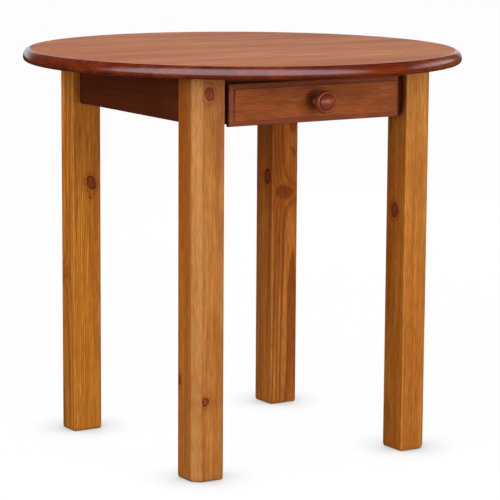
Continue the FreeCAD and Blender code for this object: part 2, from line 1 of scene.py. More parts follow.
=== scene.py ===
# %% [markdown]
# # The looks of a round tavern table
#
# The table is already built: every board, leg, rail, dowel and screw comes in at its real size and place
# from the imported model. What is left is what a cabinet maker calls the finish, and that is what this file
# makes. The pieces that show are drawn again as smooth surfaces with their rounded edges, and every wooden
# piece gets a wood that grows through it like the real tree did. Nothing is moved: each piece takes its
# place from the fixed frame.

# %% The fixed frame
import math

import bmesh
import bpy
import numpy as np
from mathutils import Matrix, Vector


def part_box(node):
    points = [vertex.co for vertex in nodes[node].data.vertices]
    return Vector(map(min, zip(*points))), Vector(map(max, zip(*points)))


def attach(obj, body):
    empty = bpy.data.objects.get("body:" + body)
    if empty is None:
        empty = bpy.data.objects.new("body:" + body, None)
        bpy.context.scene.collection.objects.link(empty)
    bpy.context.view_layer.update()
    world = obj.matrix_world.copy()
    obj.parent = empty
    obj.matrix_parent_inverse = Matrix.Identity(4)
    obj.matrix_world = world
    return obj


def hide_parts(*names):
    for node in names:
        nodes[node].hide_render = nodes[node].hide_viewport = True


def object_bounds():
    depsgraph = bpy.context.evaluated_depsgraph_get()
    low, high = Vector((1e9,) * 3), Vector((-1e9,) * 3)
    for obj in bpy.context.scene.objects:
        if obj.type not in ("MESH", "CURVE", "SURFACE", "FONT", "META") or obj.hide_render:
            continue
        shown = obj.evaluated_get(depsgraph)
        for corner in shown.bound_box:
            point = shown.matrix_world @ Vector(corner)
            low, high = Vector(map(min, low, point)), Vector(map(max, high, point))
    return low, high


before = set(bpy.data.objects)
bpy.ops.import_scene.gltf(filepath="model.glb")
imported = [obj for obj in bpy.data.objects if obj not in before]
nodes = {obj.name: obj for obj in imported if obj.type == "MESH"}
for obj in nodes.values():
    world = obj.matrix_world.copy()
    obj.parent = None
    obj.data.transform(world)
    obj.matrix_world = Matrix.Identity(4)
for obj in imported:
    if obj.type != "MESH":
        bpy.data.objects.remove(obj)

cad_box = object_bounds()
MM = 0.001  # one millimetre, in metres

size_text = ", ".join(f"{value / MM:.0f}" for value in cad_box[1] - cad_box[0])
print(f"the table measures {size_text} mm over all, in {len(nodes)} nodes")

# %% [markdown]
# ## Directions and new objects
#
# Lamps and windows stand round the table, so one function gives the direction towards each of them. A
# camera, a lamp or a mesh shows only once an object carries it and is linked to the scene, which is always
# the same two calls, so they have a function too.


# %% Directions and new objects
def toward(turn, tip=0):
    """The unit vector at a turn to the right of the drawer's side and a height angle, in degrees."""
    turn, tip = math.radians(turn), math.radians(tip)
    return Vector((math.sin(turn) * math.cos(tip), -math.cos(turn) * math.cos(tip), math.sin(tip)))


def in_scene(name, data):
    """A new object that carries a camera, lamp or mesh, linked to the scene."""
    made = bpy.data.objects.new(name, data)
    bpy.context.scene.collection.objects.link(made)
    return made


# %% [markdown]
# ## The camera
#
# A long lens from a few paces away keeps upright legs almost parallel, as in a catalogue picture. The
# camera stands to the left of the drawer and a little above the tabletop, so that the top shows as a thin
# ellipse. It could be aimed with a Track To constraint, but three angles say exactly where it looks: first
# it is turned to the table, then tipped down, then rolled by a hair.

# %% Camera
CAMERA_AROUND = math.radians(32.12)  # from the drawer's side towards the left
CAMERA_DISTANCE = 4.3863  # level, from the table's middle
CAMERA_HEIGHT = 1.0873  # above the floor
CAMERA_TURN = math.radians(32.33)
CAMERA_TIP = math.radians(9.48)
CAMERA_ROLL = math.radians(0.37)
CAMERA_LENS = 172.70  # millimetres, on Blender's 36 mm sensor


def camera_axes(turn, tip, roll):
    """Right, up and back of a camera that looks along +Y, turned clockwise, tipped down and then rolled."""
    turned = Matrix.Rotation(-turn, 3, "Z")
    tipped = Matrix.Rotation(-tip, 3, "X")
    rolled = Matrix.Rotation(-roll, 3, "Y")
    axes = turned @ tipped @ rolled
    right, ahead, up = (axes @ Vector(v) for v in ((1, 0, 0), (0, 1, 0), (0, 0, 1)))
    return right, up, -ahead


right, up, back = camera_axes(CAMERA_TURN, CAMERA_TIP, CAMERA_ROLL)
lens = bpy.data.cameras.new("catalogue_camera")
lens.lens = CAMERA_LENS
camera = in_scene("catalogue_camera", lens)
camera.matrix_world = Matrix((right, up, back)).transposed().to_4x4()
camera.location = (
    -CAMERA_DISTANCE * math.sin(CAMERA_AROUND),
    -CAMERA_DISTANCE * math.cos(CAMERA_AROUND),
    CAMERA_HEIGHT,
)
bpy.context.scene.camera = camera
bpy.context.scene.view_settings.view_transform = "Standard"
print("camera at", [round(v, 3) for v in camera.location])

# %% [markdown]
# ## A short way to write a finish
#
# Materials are graphs of nodes. Written out one call at a time they are long and hard to read, so this
# small class gives each kind of node a short name: a call adds the node, plugs in what it is given and
# hands back its output, and a formula then reads almost like plain arithmetic.


# %% Recipe, for writing node graphs
class Recipe:
    """Adds nodes to one graph. Numbers and colours are typed into a node's sockets and outputs are linked.

    A kind of node is given without the ShaderNode that all their names start with."""

    def __init__(self, graph):
        self.graph = graph
        graph.nodes.clear()

    def node(self, kind, inputs=None, output=0, **settings):
        made = self.graph.nodes.new("ShaderNode" + kind)
        for name, value in settings.items():
            setattr(made, name, value)
        for name, value in (inputs or {}).items():
            if isinstance(value, bpy.types.NodeSocket):
                self.graph.links.new(value, made.inputs[name])
            else:
                made.inputs[name].default_value = value
        return made.outputs[output]

    def surface(self, kind, shader):
        """Ends the graph: the shader goes to an output node of that kind."""
        self.graph.links.new(shader, self.graph.nodes.new("ShaderNode" + kind).inputs["Surface"])

    def math(self, operation, *values):
        return self.node("Math", dict(enumerate(values)), operation=operation)

    def times(self, first, second):
        return self.math("MULTIPLY", first, second)

    def line(self, value, slope, start):
        """The value times the slope, plus the start."""
        return self.math("MULTIPLY_ADD", value, slope, start)

    def vector(self, operation, *values, output=0):
        return self.node("VectorMath", dict(enumerate(values)), output, operation=operation)

    def dot(self, first, second):
        return self.vector("DOT_PRODUCT", first, second, output="Value")

    def length(self, vector):
        return self.vector("LENGTH", vector, output="Value")

    def coordinate(self, place, axis):
        """One of the three numbers of a place or a direction."""
        return self.node("SeparateXYZ", {"Vector": place}, axis)

    def own_place(self):
        """The point in the object's own space, in metres."""
        return self.node("TexCoord", output="Object")

    def scaled(self, place, scale):
        """The place with each of its three numbers stretched by its own factor."""
        return self.vector("MULTIPLY", place, scale)

    def noise(self, place, scale=1.0, detail=2.0, output="Fac"):
        inputs = {"Vector": place, "Scale": scale, "Detail": detail}
        return self.node("TexNoise", inputs, output)

    def ramp(self, value, low, high):
        """0 below low, 1 above high and a smooth rise between them; low may be the larger one."""
        inputs = {"Value": value, "From Min": low, "From Max": high}
        return self.node("MapRange", inputs, interpolation_type="SMOOTHSTEP")

    def between(self, value, start, full, fading, end):
        """1 from full to fading, and 0 before the start and after the end."""
        return self.times(self.ramp(value, start, full), self.ramp(value, end, fading))

    def blend(self, share, first, second):
        """Blends two numbers; a share of 1 is all second."""
        return self.node("Mix", {0: share, 2: first, 3: second})

    def mix(self, share, first, second):
        """Blends two colours; a share of 1 is all second. Its colour sockets are numbers 6, 7 and 2."""
        return self.node("Mix", {0: share, 6: first, 7: second}, 2, data_type="RGBA")

    def tinted(self, colour, other, share, strength):
        """The colour, changed to the other by the share times the strength."""
        return self.mix(self.times(share, strength), colour, other)

    def shaded(self, colour, shade):
        """A colour made darker or lighter by one number."""
        grey = self.node("CombineXYZ", {0: shade, 1: shade, 2: shade})
        return self.vector("MULTIPLY", colour, grey)

    def finish(self, colour, gloss, height, strength, relief, fixed):
        """Ends a material: colour and roughness from nodes, a relief that deep, and fixed numbers."""
        bump = {"Strength": strength, "Distance": relief, "Height": height}
        bump = self.node("Bump", bump, "Normal")
        inputs = {"Base Color": colour, "Roughness": gloss, "Normal": bump} | fixed
        self.surface("OutputMaterial", self.node("BsdfPrincipled", inputs))


def new_material(name):
    """A material and the recipe that fills its graph."""
    material = bpy.data.materials.new(name)
    material.use_nodes = True
    return material, Recipe(material.node_tree)


def rgb(red, green, blue):
    return (red, green, blue, 1.0)


# %% [markdown]
# ## The studio
#
# In a studio furniture stands on a pale sweep in front of large soft lamps. The floor is a wide sheet.
# The camera sees it and the world as white, while what lights the table is a soft grey sky, brighter
# overhead, and seven soft boxes: four in front at different heights, two on the left and one behind, so
# that the stain keeps its colour and the far sides aren't black. A polished face shows the room as it is in
# such a studio, all a little bluish: the white sweep behind the table, tall windows to the front left, a
# fainter one to the right and a dim ceiling. Near the feet the floor is shaded by an Ambient Occlusion
# node, which asks how much of the view close by is blocked. From below the floor is clear, so that the
# underside of the table can be looked at.

# %% How bright the studio is
WHITE_LEVEL = 0.99
SKY_LEVEL = 0.10  # what reaches the table from the sides
OVERHEAD_LEVEL = 0.82  # and how much more from straight above
ROOM_LEVEL = 0.06  # what a polished face shows of the room away from the sweep and the windows
WINDOW_LEVEL = 4.6
WINDOW_TURN = -36  # the middle of the windows, in degrees to the right of the drawer's side
SIDE_WINDOW_TURN = 88
SIDE_WINDOW_SHARE = 0.4  # how bright that one is beside the others
SWEEP_TURN = 156  # the middle of the white sweep behind the table
DAYLIGHT_TINT = rgb(0.88, 0.95, 1.10)
FLOOR_LEVEL = 0.20  # how bright the real floor is under this light
SHADOW_SHARE = 0.12  # how much of the floor's real light and shade the camera sees
CONTACT_REACH = 0.085  # how near a foot has to be to shade the floor
CONTACT_SOFTNESS = 1.3
LIT_SHEET = 0.25  # what a polished face shows of the floor in front of the windows
DIM_SHEET = 0.04  # and of the floor under and behind the table
FLOOR_RADIUS = 40.0
FLOOR_SIDES = 96


# %% World
def ray_kinds(recipe):
    """1 for rays from the camera, and 1 for rays that come off a mirror or through glass; else 0."""
    path = recipe.graph.nodes.new("ShaderNodeLightPath")
    mirror = recipe.math("MAXIMUM", path.outputs["Is Glossy Ray"], path.outputs["Is Transmission Ray"])
    return path.outputs["Is Camera Ray"], mirror


world = bpy.data.worlds.new("studio")
world.use_nodes = True
bpy.context.scene.world = world
sky = Recipe(world.node_tree)
seen, mirrored = ray_kinds(sky)
direction = sky.node("TexCoord", output="Generated")
steepness = sky.coordinate(direction, "Z")


def looks_towards(turn, low, high):
    """Rises from 0 to 1 as the cosine between a ray and the turn's direction goes from low to high."""
    return sky.ramp(sky.dot(direction, toward(turn)), low, high)


sweep = sky.times(looks_towards(SWEEP_TURN, 0.86, 0.97), sky.ramp(steepness, 0.42, 0.08))
room = sky.line(sweep, WHITE_LEVEL - ROOM_LEVEL, ROOM_LEVEL)
windows = looks_towards(WINDOW_TURN, 0.15, 0.55)
side_window = sky.times(looks_towards(SIDE_WINDOW_TURN, 0.85, 0.97), SIDE_WINDOW_SHARE)
upright = sky.between(steepness, 0.05, 0.14, 0.93, 0.985)
panes = sky.times(sky.math("MAXIMUM", windows, side_window), upright)
room = sky.line(panes, WINDOW_LEVEL, room)
daylight = sky.line(sky.ramp(steepness, 0.4, 0.95), OVERHEAD_LEVEL, SKY_LEVEL)
level = sky.blend(mirrored, daylight, room)
level = sky.blend(seen, level, WHITE_LEVEL)
tint = sky.mix(mirrored, rgb(1, 1, 1), DAYLIGHT_TINT)
surroundings = sky.node("Background", {"Color": tint, "Strength": level})
sky.surface("OutputWorld", surroundings)
print(f"daylight: {SKY_LEVEL} from the sides, {SKY_LEVEL + OVERHEAD_LEVEL:.2f} from above")

# %% Floor
floor_finish, paint = new_material("studio_floor")
sheet = paint.node("BsdfDiffuse", {"Color": rgb(0.22, 0.22, 0.22)})
white = (WHITE_LEVEL - SHADOW_SHARE * FLOOR_LEVEL) / (1.0 - SHADOW_SHARE)
openness = paint.node("AmbientOcclusion", {"Distance": CONTACT_REACH}, "AO", samples=24)
blocked = paint.math("POWER", paint.math("SUBTRACT", 1.0, openness), CONTACT_SOFTNESS)
white = paint.line(blocked, -white, white)
glow = paint.node("Emission", {"Color": rgb(1, 1, 1), "Strength": white})
seen, mirrored = ray_kinds(paint)
share = paint.times(seen, 1.0 - SHADOW_SHARE)
lit = paint.node("MixShader", {0: share, 1: sheet, 2: glow})
spot = paint.node("NewGeometry", output="Position")
nearer = paint.ramp(paint.dot(spot, toward(WINDOW_TURN)), 0.5, 2.0)
polished = paint.line(nearer, LIT_SHEET - DIM_SHEET, DIM_SHEET)
polished = paint.node("Emission", {"Color": rgb(1, 1, 1), "Strength": polished})
lit = paint.node("MixShader", {0: mirrored, 1: lit, 2: polished})
below = paint.node("NewGeometry", output="Backfacing")
clear = paint.node("BsdfTransparent")
whole = paint.node("MixShader", {0: below, 1: lit, 2: clear})
paint.surface("OutputMaterial", whole)

turns = np.linspace(0, 2 * math.pi, FLOOR_SIDES, endpoint=False)
rim = np.stack([FLOOR_RADIUS * np.cos(turns), FLOOR_RADIUS * np.sin(turns), 0 * turns], axis=1)
floor_mesh = bpy.data.meshes.new("studio_floor")
floor_mesh.from_pydata(rim.tolist(), [], [list(range(len(rim)))])
floor_mesh.materials.append(floor_finish)
floor = in_scene("studio_floor", floor_mesh)
print(f"the floor is a disc {2 * FLOOR_RADIUS:.0f} m across")

# %% Lamps
LAMP_AIM = Vector((0, 0, 0.45))  # they all point at the upper half of the legs


def soft_lamp(name, turn, tip, distance, width, height, power):
    """A soft box seen from the aim at that turn and height angle, as far away as the distance says."""
    lamp = bpy.data.lights.new(name, "AREA")
    lamp.shape = "RECTANGLE"
    lamp.size = width
    lamp.size_y = height
    lamp.energy = power
    box = in_scene(name, lamp)
    away = toward(turn, tip)
    box.location = LAMP_AIM + away * distance
    box.rotation_mode = "QUATERNION"
    box.rotation_quaternion = away.to_track_quat("Z", "Y")
    box.visible_glossy = False  # a polished face shows the windows of the world instead
    print(f"{name}: {power} W, {width} by {height} m")


soft_lamp("low_softbox", turn=6, tip=-2, distance=3.2, width=1.0, height=0.6, power=30)
soft_lamp("right_softbox", turn=38, tip=5, distance=3.2, width=1.0, height=0.9, power=10)
soft_lamp("front_softbox", turn=22, tip=19, distance=3.2, width=1.6, height=0.9, power=34)
soft_lamp("high_softbox", turn=12, tip=42, distance=3.2, width=1.6, height=1.1, power=30)
soft_lamp("side_softbox", turn=-68, tip=14, distance=3.0, width=1.4, height=1.6, power=53)
soft_lamp("left_softbox", turn=-92, tip=46, distance=2.6, width=1.2, height=1.0, power=25)
soft_lamp("back_softbox", turn=135, tip=14, distance=3.4, width=1.8, height=1.2, power=26)

# %% [markdown]
# ## How pine grows
#
# Wood isn't a picture glued to a board: it is a solid. Round the pith of the tree lie the year's rings,
# pale wood that grew fast in spring and a thin dark line that grew slowly in summer, and a board shows
# whatever its saw cuts happened to cross. So the pattern is worked out in the log's own space: one number
# along the trunk and two across it, kept on every new piece as an attribute named log. A board sawn beside
# the pith then shows straight lines, one sawn over it shows arches, and the end of a leg shows arcs, with
# no extra work.


# %% Rings and fibres
# How many waves each noise has to the metre, along the trunk and twice across it.
SWAY_SCALE = (1.7, 9.0, 9.0)
YEAR_SCALE = (0.0, 30.0, 30.0)
FIBRE_SCALE = (42.0, 480.0, 480.0)
STREAK_SCALE = (7.0, 190.0, 190.0)
CLOUD_SCALE = (8.0, 34.0, 34.0)
YEAR_SHIFT = 2.2  # how many rings the uneven years move a ring at most
HALVES = (0.5, 0.5, 0.5)  # the middle of a noise's colours


def growth(recipe, ring_width, waviness):
    """Where a point is in its log, and how many rings lie between it and the pith.

    The distance from the pith, bent by slow noise, is divided by the ring width. A second noise makes some
    years wider than others."""
    place = recipe.node("Attribute", output="Vector", attribute_name="log")
    sway = recipe.noise(recipe.scaled(place, SWAY_SCALE), detail=1.0, output="Color")
    sway = recipe.vector("SUBTRACT", sway, HALVES)
    bent = recipe.vector("ADD", place, recipe.scaled(sway, (0.0, waviness, waviness)))
    across = recipe.scaled(bent, (0.0, 1.0, 1.0))
    from_pith = recipe.length(across)
    years = recipe.noise(recipe.scaled(across, YEAR_SCALE), detail=0.0)
    rings = recipe.line(years, YEAR_SHIFT, recipe.math("DIVIDE", from_pith, ring_width))
    return place, rings


def ring_lines(recipe, rings):
    """How much late wood there is: a slow rise through the year and a quick fall at its end."""
    year = recipe.math("FRACT", rings)
    return recipe.between(year, 0.35, 0.92, 0.93, 1.0)


def fibres(recipe, place):
    """Fine fibres, streaks and clouds along the trunk, each a noise stretched lengthwise."""
    fine = recipe.noise(recipe.scaled(place, FIBRE_SCALE), detail=3.0)
    streaks = recipe.noise(recipe.scaled(place, STREAK_SCALE), detail=4.0)
    clouds = recipe.noise(recipe.scaled(place, CLOUD_SCALE), detail=3.0)
    return fine, recipe.ramp(streaks, 0.3, 0.7), recipe.ramp(clouds, 0.34, 0.66)


# %% [markdown]
# ## Knots
#
# A knot is the foot of a branch that the trunk grew round. It is a rod of darker, redder wood that starts
# at the pith and leaves the trunk at an angle, so on a flat face it shows as an oval, longer where the
# branch leans to a side. Here each is a line in space with a radius. A point's distance from it, counted in
# radii, says everything: under 1 is the branch, about 1 its dark bark, and beyond that the years bend round
# it, in a reddish halo with one darker year. A weak tone leaves only the halo and a faint heart, which is a
# soft red patch.

# %% Where the knots are
LEG = (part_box("leg_front_left")[1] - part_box("leg_front_left")[0]).x
KNOT_DEPTH = 34 * MM  # how far a branch reaches into the leg
NO_KNOT = 9.0  # a distance in radii at which nothing of a knot is left
KNOT_WOBBLE = (6 * MM, 6 * MM, 6 * MM)
FRONT, BACK, LEFT, RIGHT = Vector((0, -1, 0)), Vector((0, 1, 0)), Vector((-1, 0, 0)), Vector((1, 0, 0))


class Knot:
    """A branch that leaves a face at a point: lift is how steeply it rises, lean how far it goes sideways.

    Point and radius are in millimetres. The tone is 1 for a dark knot and near 0 for a faint one."""

    def __init__(self, point, face, radius, lift=0.8, lean=0.0, tone=1.0):
        self.point = Vector(point) * MM
        side = face.cross(Vector((0, 0, 1)))
        self.axis = (face + Vector((0, 0, lift)) + side * lean).normalized()
        self.radius = radius * MM
        self.tone = tone


LEG_KNOTS = {
    "front_left": [
        Knot((-223.0, -250, 678), FRONT, 9.0, lift=0.75, tone=0.8),
        Knot((-228.6, -250, 142.5), FRONT, 6.0, lift=0.8),
        Knot((-250, -201, 643), LEFT, 5.0, lift=1.0, tone=0.25),
        Knot((-250, -194.5, 174), LEFT, 6.5, lift=1.0),
        Knot((-193, -228, 512), RIGHT, 8.0),
        Knot((-216, -193, 330), BACK, 7.5, lift=0.7),
    ],
    "back_left": [
        Knot((-211.0, 193, 470.6), FRONT, 9.0, lift=0.9, lean=0.35, tone=0.8),
        Knot((-213.0, 193, 443), FRONT, 2.6, lift=1.2, tone=0.6),
        Knot((-250, 226, 300), LEFT, 8.5, lift=0.9, tone=0.3),
        Knot((-226, 250, 210), BACK, 10.0),
        Knot((-193, 217, 120), RIGHT, 6.0, lift=0.9),
    ],
    "back_right": [
        Knot((193, 209, 453), LEFT, 10.0, lift=1.0),
        Knot((221, 193, 424), FRONT, 14.5, lift=0.1, lean=1.0, tone=0.47),
        Knot((250, 218, 540), RIGHT, 9.0),
        Knot((226, 250, 330), BACK, 7.0, lift=0.9),
    ],
    "front_right": [
        Knot((193, -217, 442), LEFT, 9.5, tone=0.85),
        Knot((250, -229, 270), RIGHT, 9.5),
        Knot((212, -193, 560), BACK, 8.0),
    ],
}


def nearest_knot(recipe, knots):
    """Distance from the nearest knot, in radii of that knot, and the tone of that knot.

    The distance from a line is the length of the cross product of its direction and the offset from its
    point. A noise of a few millimetres makes the ovals uneven."""
    place = recipe.own_place()
    wobble = recipe.noise(place, scale=90.0, detail=1.0, output="Color")
    wobble = recipe.scaled(recipe.vector("SUBTRACT", wobble, HALVES), KNOT_WOBBLE)
    place = recipe.vector("ADD", place, wobble)
    nearest, tone = NO_KNOT, 1.0
    for knot in knots:
        offset = recipe.vector("SUBTRACT", place, tuple(knot.point))
        along = recipe.dot(offset, tuple(knot.axis))
        aside = recipe.length(recipe.vector("CROSS_PRODUCT", offset, tuple(knot.axis)))
        inside = recipe.ramp(along, -KNOT_DEPTH, -KNOT_DEPTH * 0.75)
        far = recipe.line(inside, -NO_KNOT, NO_KNOT)
        distance = recipe.line(aside, 1 / knot.radius, far)
        closer = recipe.math("LESS_THAN", distance, nearest)
        tone = recipe.blend(closer, tone, knot.tone)
        nearest = recipe.math("MINIMUM", distance, nearest)
    return nearest, tone


print(f"{sum(len(knots) for knots in LEG_KNOTS.values())} knots in four legs, each {LEG / MM:.0f} mm thick")


# %% [markdown]
# ## Stain and lacquer
#
# All the stained woods are one recipe with other numbers. Under the stain lie clouds, streaks, ring lines
# and fine fibres, each a mix from a paler colour to a deeper one, and on some woods broad bands along the
# trunk. The outer years of a tree are sapwood, which looks different under the same stain, so a leg that
# was sawn near the bark has a paler side; on the legs' front faces this paler, bluer colour also stands in
# for the lacquer's sheen, a painted sheen. Painted light is added too: the foot and the top of a leg are
# painted lighter, and the right end of the rim lighter and oranger. Painted shade darkens the nooks under
# the top, beside the legs and round the knob's foot, which an Ambient Occlusion node finds. On the softened
# edges an attribute written from the normals lets the edge colour through in patches: the sanding cut
# through the stain there, and the colour is also a painted highlight on the legs' chamfers and a painted
# shade along the edge of the drawer front's field. The lacquer follows the fibres by a few hundredths of a
# millimetre. That relief is what makes a satin face look like wood, and it comes from a Bump node rather
# than from thousands of real ridges.


# %% Knots in a stained face
KNOT_HALO = rgb(0.33, 0.078, 0.009)
KNOT_HEART = rgb(0.185, 0.034, 0.007)
KNOT_BARK = rgb(0.055, 0.012, 0.004)
KNOT_PUSH = 3.0  # by how many rings the years are bent in the middle of a knot


def knotted(recipe, colour, distance, tone):
    """Paints knots into a colour: the halo, its dark year, the heart with rings of its own and the bark.

    Each fills the ring between two distances. A tone under 0.47 leaves out the dark year and the bark."""
    strong = recipe.ramp(tone, 0.47, 0.8)
    grain = recipe.noise(recipe.own_place(), scale=150.0, detail=2.0)
    wavy = recipe.line(grain, 0.5, distance)
    colour = recipe.tinted(colour, KNOT_HALO, recipe.ramp(distance, 2.8, 1.2), 0.55)
    dark_year = recipe.times(recipe.between(wavy, 1.62, 1.8, 1.9, 2.1), strong)
    colour = recipe.tinted(colour, KNOT_HEART, dark_year, 0.45)
    years = recipe.ramp(recipe.math("SINE", recipe.times(wavy, 16.0)), -0.4, 1.0)
    core = recipe.tinted(KNOT_HEART, KNOT_BARK, years, 0.3)
    core = recipe.tinted(core, KNOT_HALO, recipe.ramp(grain, 0.5, 0.65), 0.35)
    inside = recipe.ramp(distance, 1.12, 0.8)
    colour = recipe.tinted(colour, core, inside, recipe.ramp(tone, 0.1, 0.65))
    bark = recipe.between(distance, 0.7, 0.95, 1.02, 1.22)
    return recipe.tinted(colour, KNOT_BARK, bark, recipe.times(tone, strong))


# %% A wood finish
# Painted shade in nooks: how far the Ambient Occlusion looks, and the dark colour painted where nearby parts
# block the view.
NOOK_REACH = 30 * MM
NOOK_SHADE_COLOUR = rgb(0.022, 0.005, 0.002)
# The axis along which the painted light changes, and the places in metres where that starts and where it is
# done.
FOOT_LIGHT_CHANGE = ("Z", 0.50, 0.05)
CROWN_LIGHT_CHANGE = ("Z", 0.50, 0.66)
RIGHT_END_LIGHT_CHANGE = ("X", 0.05, 0.30)


def wood_finish(
    name,
    pale,
    deep,
    late,
    edge_wear_and_shading=None,
    ring_width=3.6 * MM,
    waviness=12 * MM,
    clouds=0.7,
    streaks=0.35,
    lines=0.35,
    bands=0.0,
    band_size=15.0,
    sapwood_and_sheen=None,
    foot=None,
    crown_light=None,
    right_end_light=None,
    nook_shade=0.0,
    fine=0.12,
    knots=(),
    roughness=0.4,
    level=0.2,
    relief=0.05 * MM,
):
    """A solid wood under stain and lacquer. Colours are linear.

    clouds, streaks, lines, bands and nooks say how far each goes towards its colour, fine how strongly the
    fibres show, and level how strongly the lacquer mirrors. sapwood is the distance from the pith where it
    starts, the one where it is full, and its colour."""
    material, recipe = new_material(name)
    place, rings = growth(recipe, ring_width, waviness)
    if sapwood_and_sheen:
        start, end, sap_and_sheen = sapwood_and_sheen
        from_pith = recipe.times(rings, ring_width)
    if knots:
        distance, tone = nearest_knot(recipe, knots)
        bend = recipe.math("EXPONENT", recipe.times(distance, -0.9))
        rings = recipe.line(bend, KNOT_PUSH, rings)
    late_wood = ring_lines(recipe, rings)
    hair, streak, cloud = fibres(recipe, place)

    colour = recipe.tinted(pale, deep, cloud, clouds)
    # The sapwood colour, which on the legs' front faces also stands in for the lacquer's sheen: a painted
    # sheen.
    if sapwood_and_sheen:
        colour = recipe.tinted(colour, sap_and_sheen, recipe.ramp(from_pith, start, end), 0.8)
    spot = recipe.own_place()
    # Painted light: lighter towards the foot and the top of a leg and towards the rim's right end, where a
    # finish asks for it.
    changes = [(foot, FOOT_LIGHT_CHANGE), (crown_light, CROWN_LIGHT_CHANGE), (right_end_light, RIGHT_END_LIGHT_CHANGE)]
    for tint, (axis, start, end) in changes:
        if tint:
            share = recipe.ramp(recipe.coordinate(spot, axis), start, end)
            colour = recipe.tinted(colour, tint, share, 0.5)
    colour = recipe.tinted(colour, late, streak, streaks)
    colour = recipe.tinted(colour, late, late_wood, lines)
    if bands:
        band = recipe.noise(recipe.scaled(place, (1.7, band_size, band_size)), detail=3.0)
        colour = recipe.tinted(colour, late, recipe.ramp(band, 0.35, 0.65), bands)
    if knots:
        colour = knotted(recipe, colour, distance, tone)
    # Painted shade: darker where nearby parts block the view, under the top, beside the legs and round the
    # knob's foot.
    if nook_shade:
        openness = recipe.node("AmbientOcclusion", {"Distance": NOOK_REACH}, "AO", samples=6)
        painted_shade = recipe.times(recipe.ramp(openness, 0.75, 0.3), nook_shade)
        off_floor = recipe.ramp(recipe.coordinate(spot, "Z"), 0.03, 0.08)  # the floor makes no nook
        colour = recipe.tinted(colour, NOOK_SHADE_COLOUR, painted_shade, off_floor)
    # The edge colour: sanding wear, and also a painted highlight on the legs' chamfers and softened edges
    # and a painted shade along the edge of the drawer front's field.
    if edge_wear_and_shading:
        wear_and_shading = recipe.node("Attribute", output="Fac", attribute_name="wear_and_shading")
        colour = recipe.tinted(colour, edge_wear_and_shading, wear_and_shading, recipe.line(cloud, -0.45, 0.85))
    shade = recipe.line(hair, 4 * fine, 1.0 - 2 * fine)
    colour = recipe.shaded(colour, shade)
    height = recipe.line(late_wood, 0.5, hair)
    gloss = recipe.line(streak, 0.10, roughness - 0.05)
    recipe.finish(colour, gloss, height, 0.6, relief, {"Specular IOR Level": level})
    return material


# %% The finishes of this table
HONEY = dict(
    pale=rgb(0.48, 0.155, 0.014),
    deep=rgb(0.36, 0.095, 0.008),
    late=rgb(0.20, 0.043, 0.004),
    # edge colour: sanding wear and a painted highlight on the chamfers and softened edges
    edge_wear_and_shading=rgb(0.49, 0.215, 0.050),
    streaks=0.45,
    bands=0.35,
    band_size=40.0,
    # foot colour: painted light, lighter towards the foot
    foot=rgb(0.54, 0.205, 0.026),
    fine=0.3,
    # painted shade in the nooks
    nook_shade=0.9,
    roughness=0.38,
)
LEG_WOODS = {
    "front_left": dict(
        pale=rgb(0.41, 0.125, 0.009),
        deep=rgb(0.31, 0.078, 0.006),
        # edge colour: sanding wear and a painted highlight; foot colour: painted light, lighter towards the
        # foot; the sapwood colour is also a painted sheen on the front face
        edge_wear_and_shading=rgb(0.42, 0.185, 0.052),
        foot=rgb(0.46, 0.175, 0.030),
        sapwood_and_sheen=(0.080, 0.100, rgb(0.41, 0.175, 0.040)),
        lines=0.3,
        level=0.28,
    ),
    "back_left": dict(
        pale=rgb(0.51, 0.178, 0.021),
        deep=rgb(0.40, 0.120, 0.014),
        # crown colour: painted light, lighter towards the top; the sapwood colour is also a painted sheen on
        # the front face
        crown_light=rgb(0.72, 0.30, 0.055),
        sapwood_and_sheen=(0.068, 0.082, rgb(0.62, 0.235, 0.032)),
        lines=0.6,
        level=0.05,
    ),
    "back_right": dict(
        pale=rgb(0.47, 0.140, 0.020),
        deep=rgb(0.35, 0.092, 0.013),
        late=rgb(0.19, 0.042, 0.006),
        # foot colour: painted light, lighter towards the foot
        foot=rgb(0.75, 0.295, 0.060),
        lines=0.8,
        level=0.05,
    ),
    "front_right": dict(
        # crown and foot colours: painted light, lighter towards the top and the foot; the sapwood colour is
        # also a painted sheen on the front face
        crown_light=rgb(0.62, 0.27, 0.055),
        foot=rgb(0.47, 0.155, 0.018),
        sapwood_and_sheen=(0.062, 0.080, rgb(0.41, 0.165, 0.027)),
        lines=0.35,
        level=0.18,
    ),
}
honey_pine = {}
for corner, own in LEG_WOODS.items():
    wood = HONEY | own | dict(knots=LEG_KNOTS[corner])
    honey_pine[corner] = wood_finish(f"honey_pine_{corner}", **wood)
stained_top = wood_finish(
    "stained_top",
    pale=rgb(0.55, 0.212, 0.074),
    deep=rgb(0.45, 0.158, 0.053),
    late=rgb(0.27, 0.078, 0.023),
    streaks=0.55,
    lines=0.55,
    bands=0.8,
    fine=0.25,
    ring_width=5 * MM,
    waviness=16 * MM,
    roughness=0.5,
    level=0.2,
)
stained_edge = wood_finish(
    "stained_edge",
    pale=rgb(0.095, 0.010, 0.0020),
    deep=rgb(0.190, 0.028, 0.0035),
    late=rgb(0.045, 0.006, 0.0012),
    clouds=0.8,
    streaks=0.55,
    # painted light: lighter and oranger towards the rim's right end
    right_end_light=rgb(0.42, 0.105, 0.010),
    lines=0.3,
    ring_width=5 * MM,
    waviness=16 * MM,
    roughness=0.14,
    level=0.45,
    relief=0.04 * MM,
)
stained_apron = wood_finish(
    "stained_apron",
    pale=rgb(0.11, 0.022, 0.007),
    deep=rgb(0.078, 0.016, 0.005),
    late=rgb(0.055, 0.011, 0.004),
    edge_wear_and_shading=rgb(0.13, 0.028, 0.010),
    # painted shade in the nooks
    nook_shade=0.9,
    roughness=0.45,
    level=0.03,
)
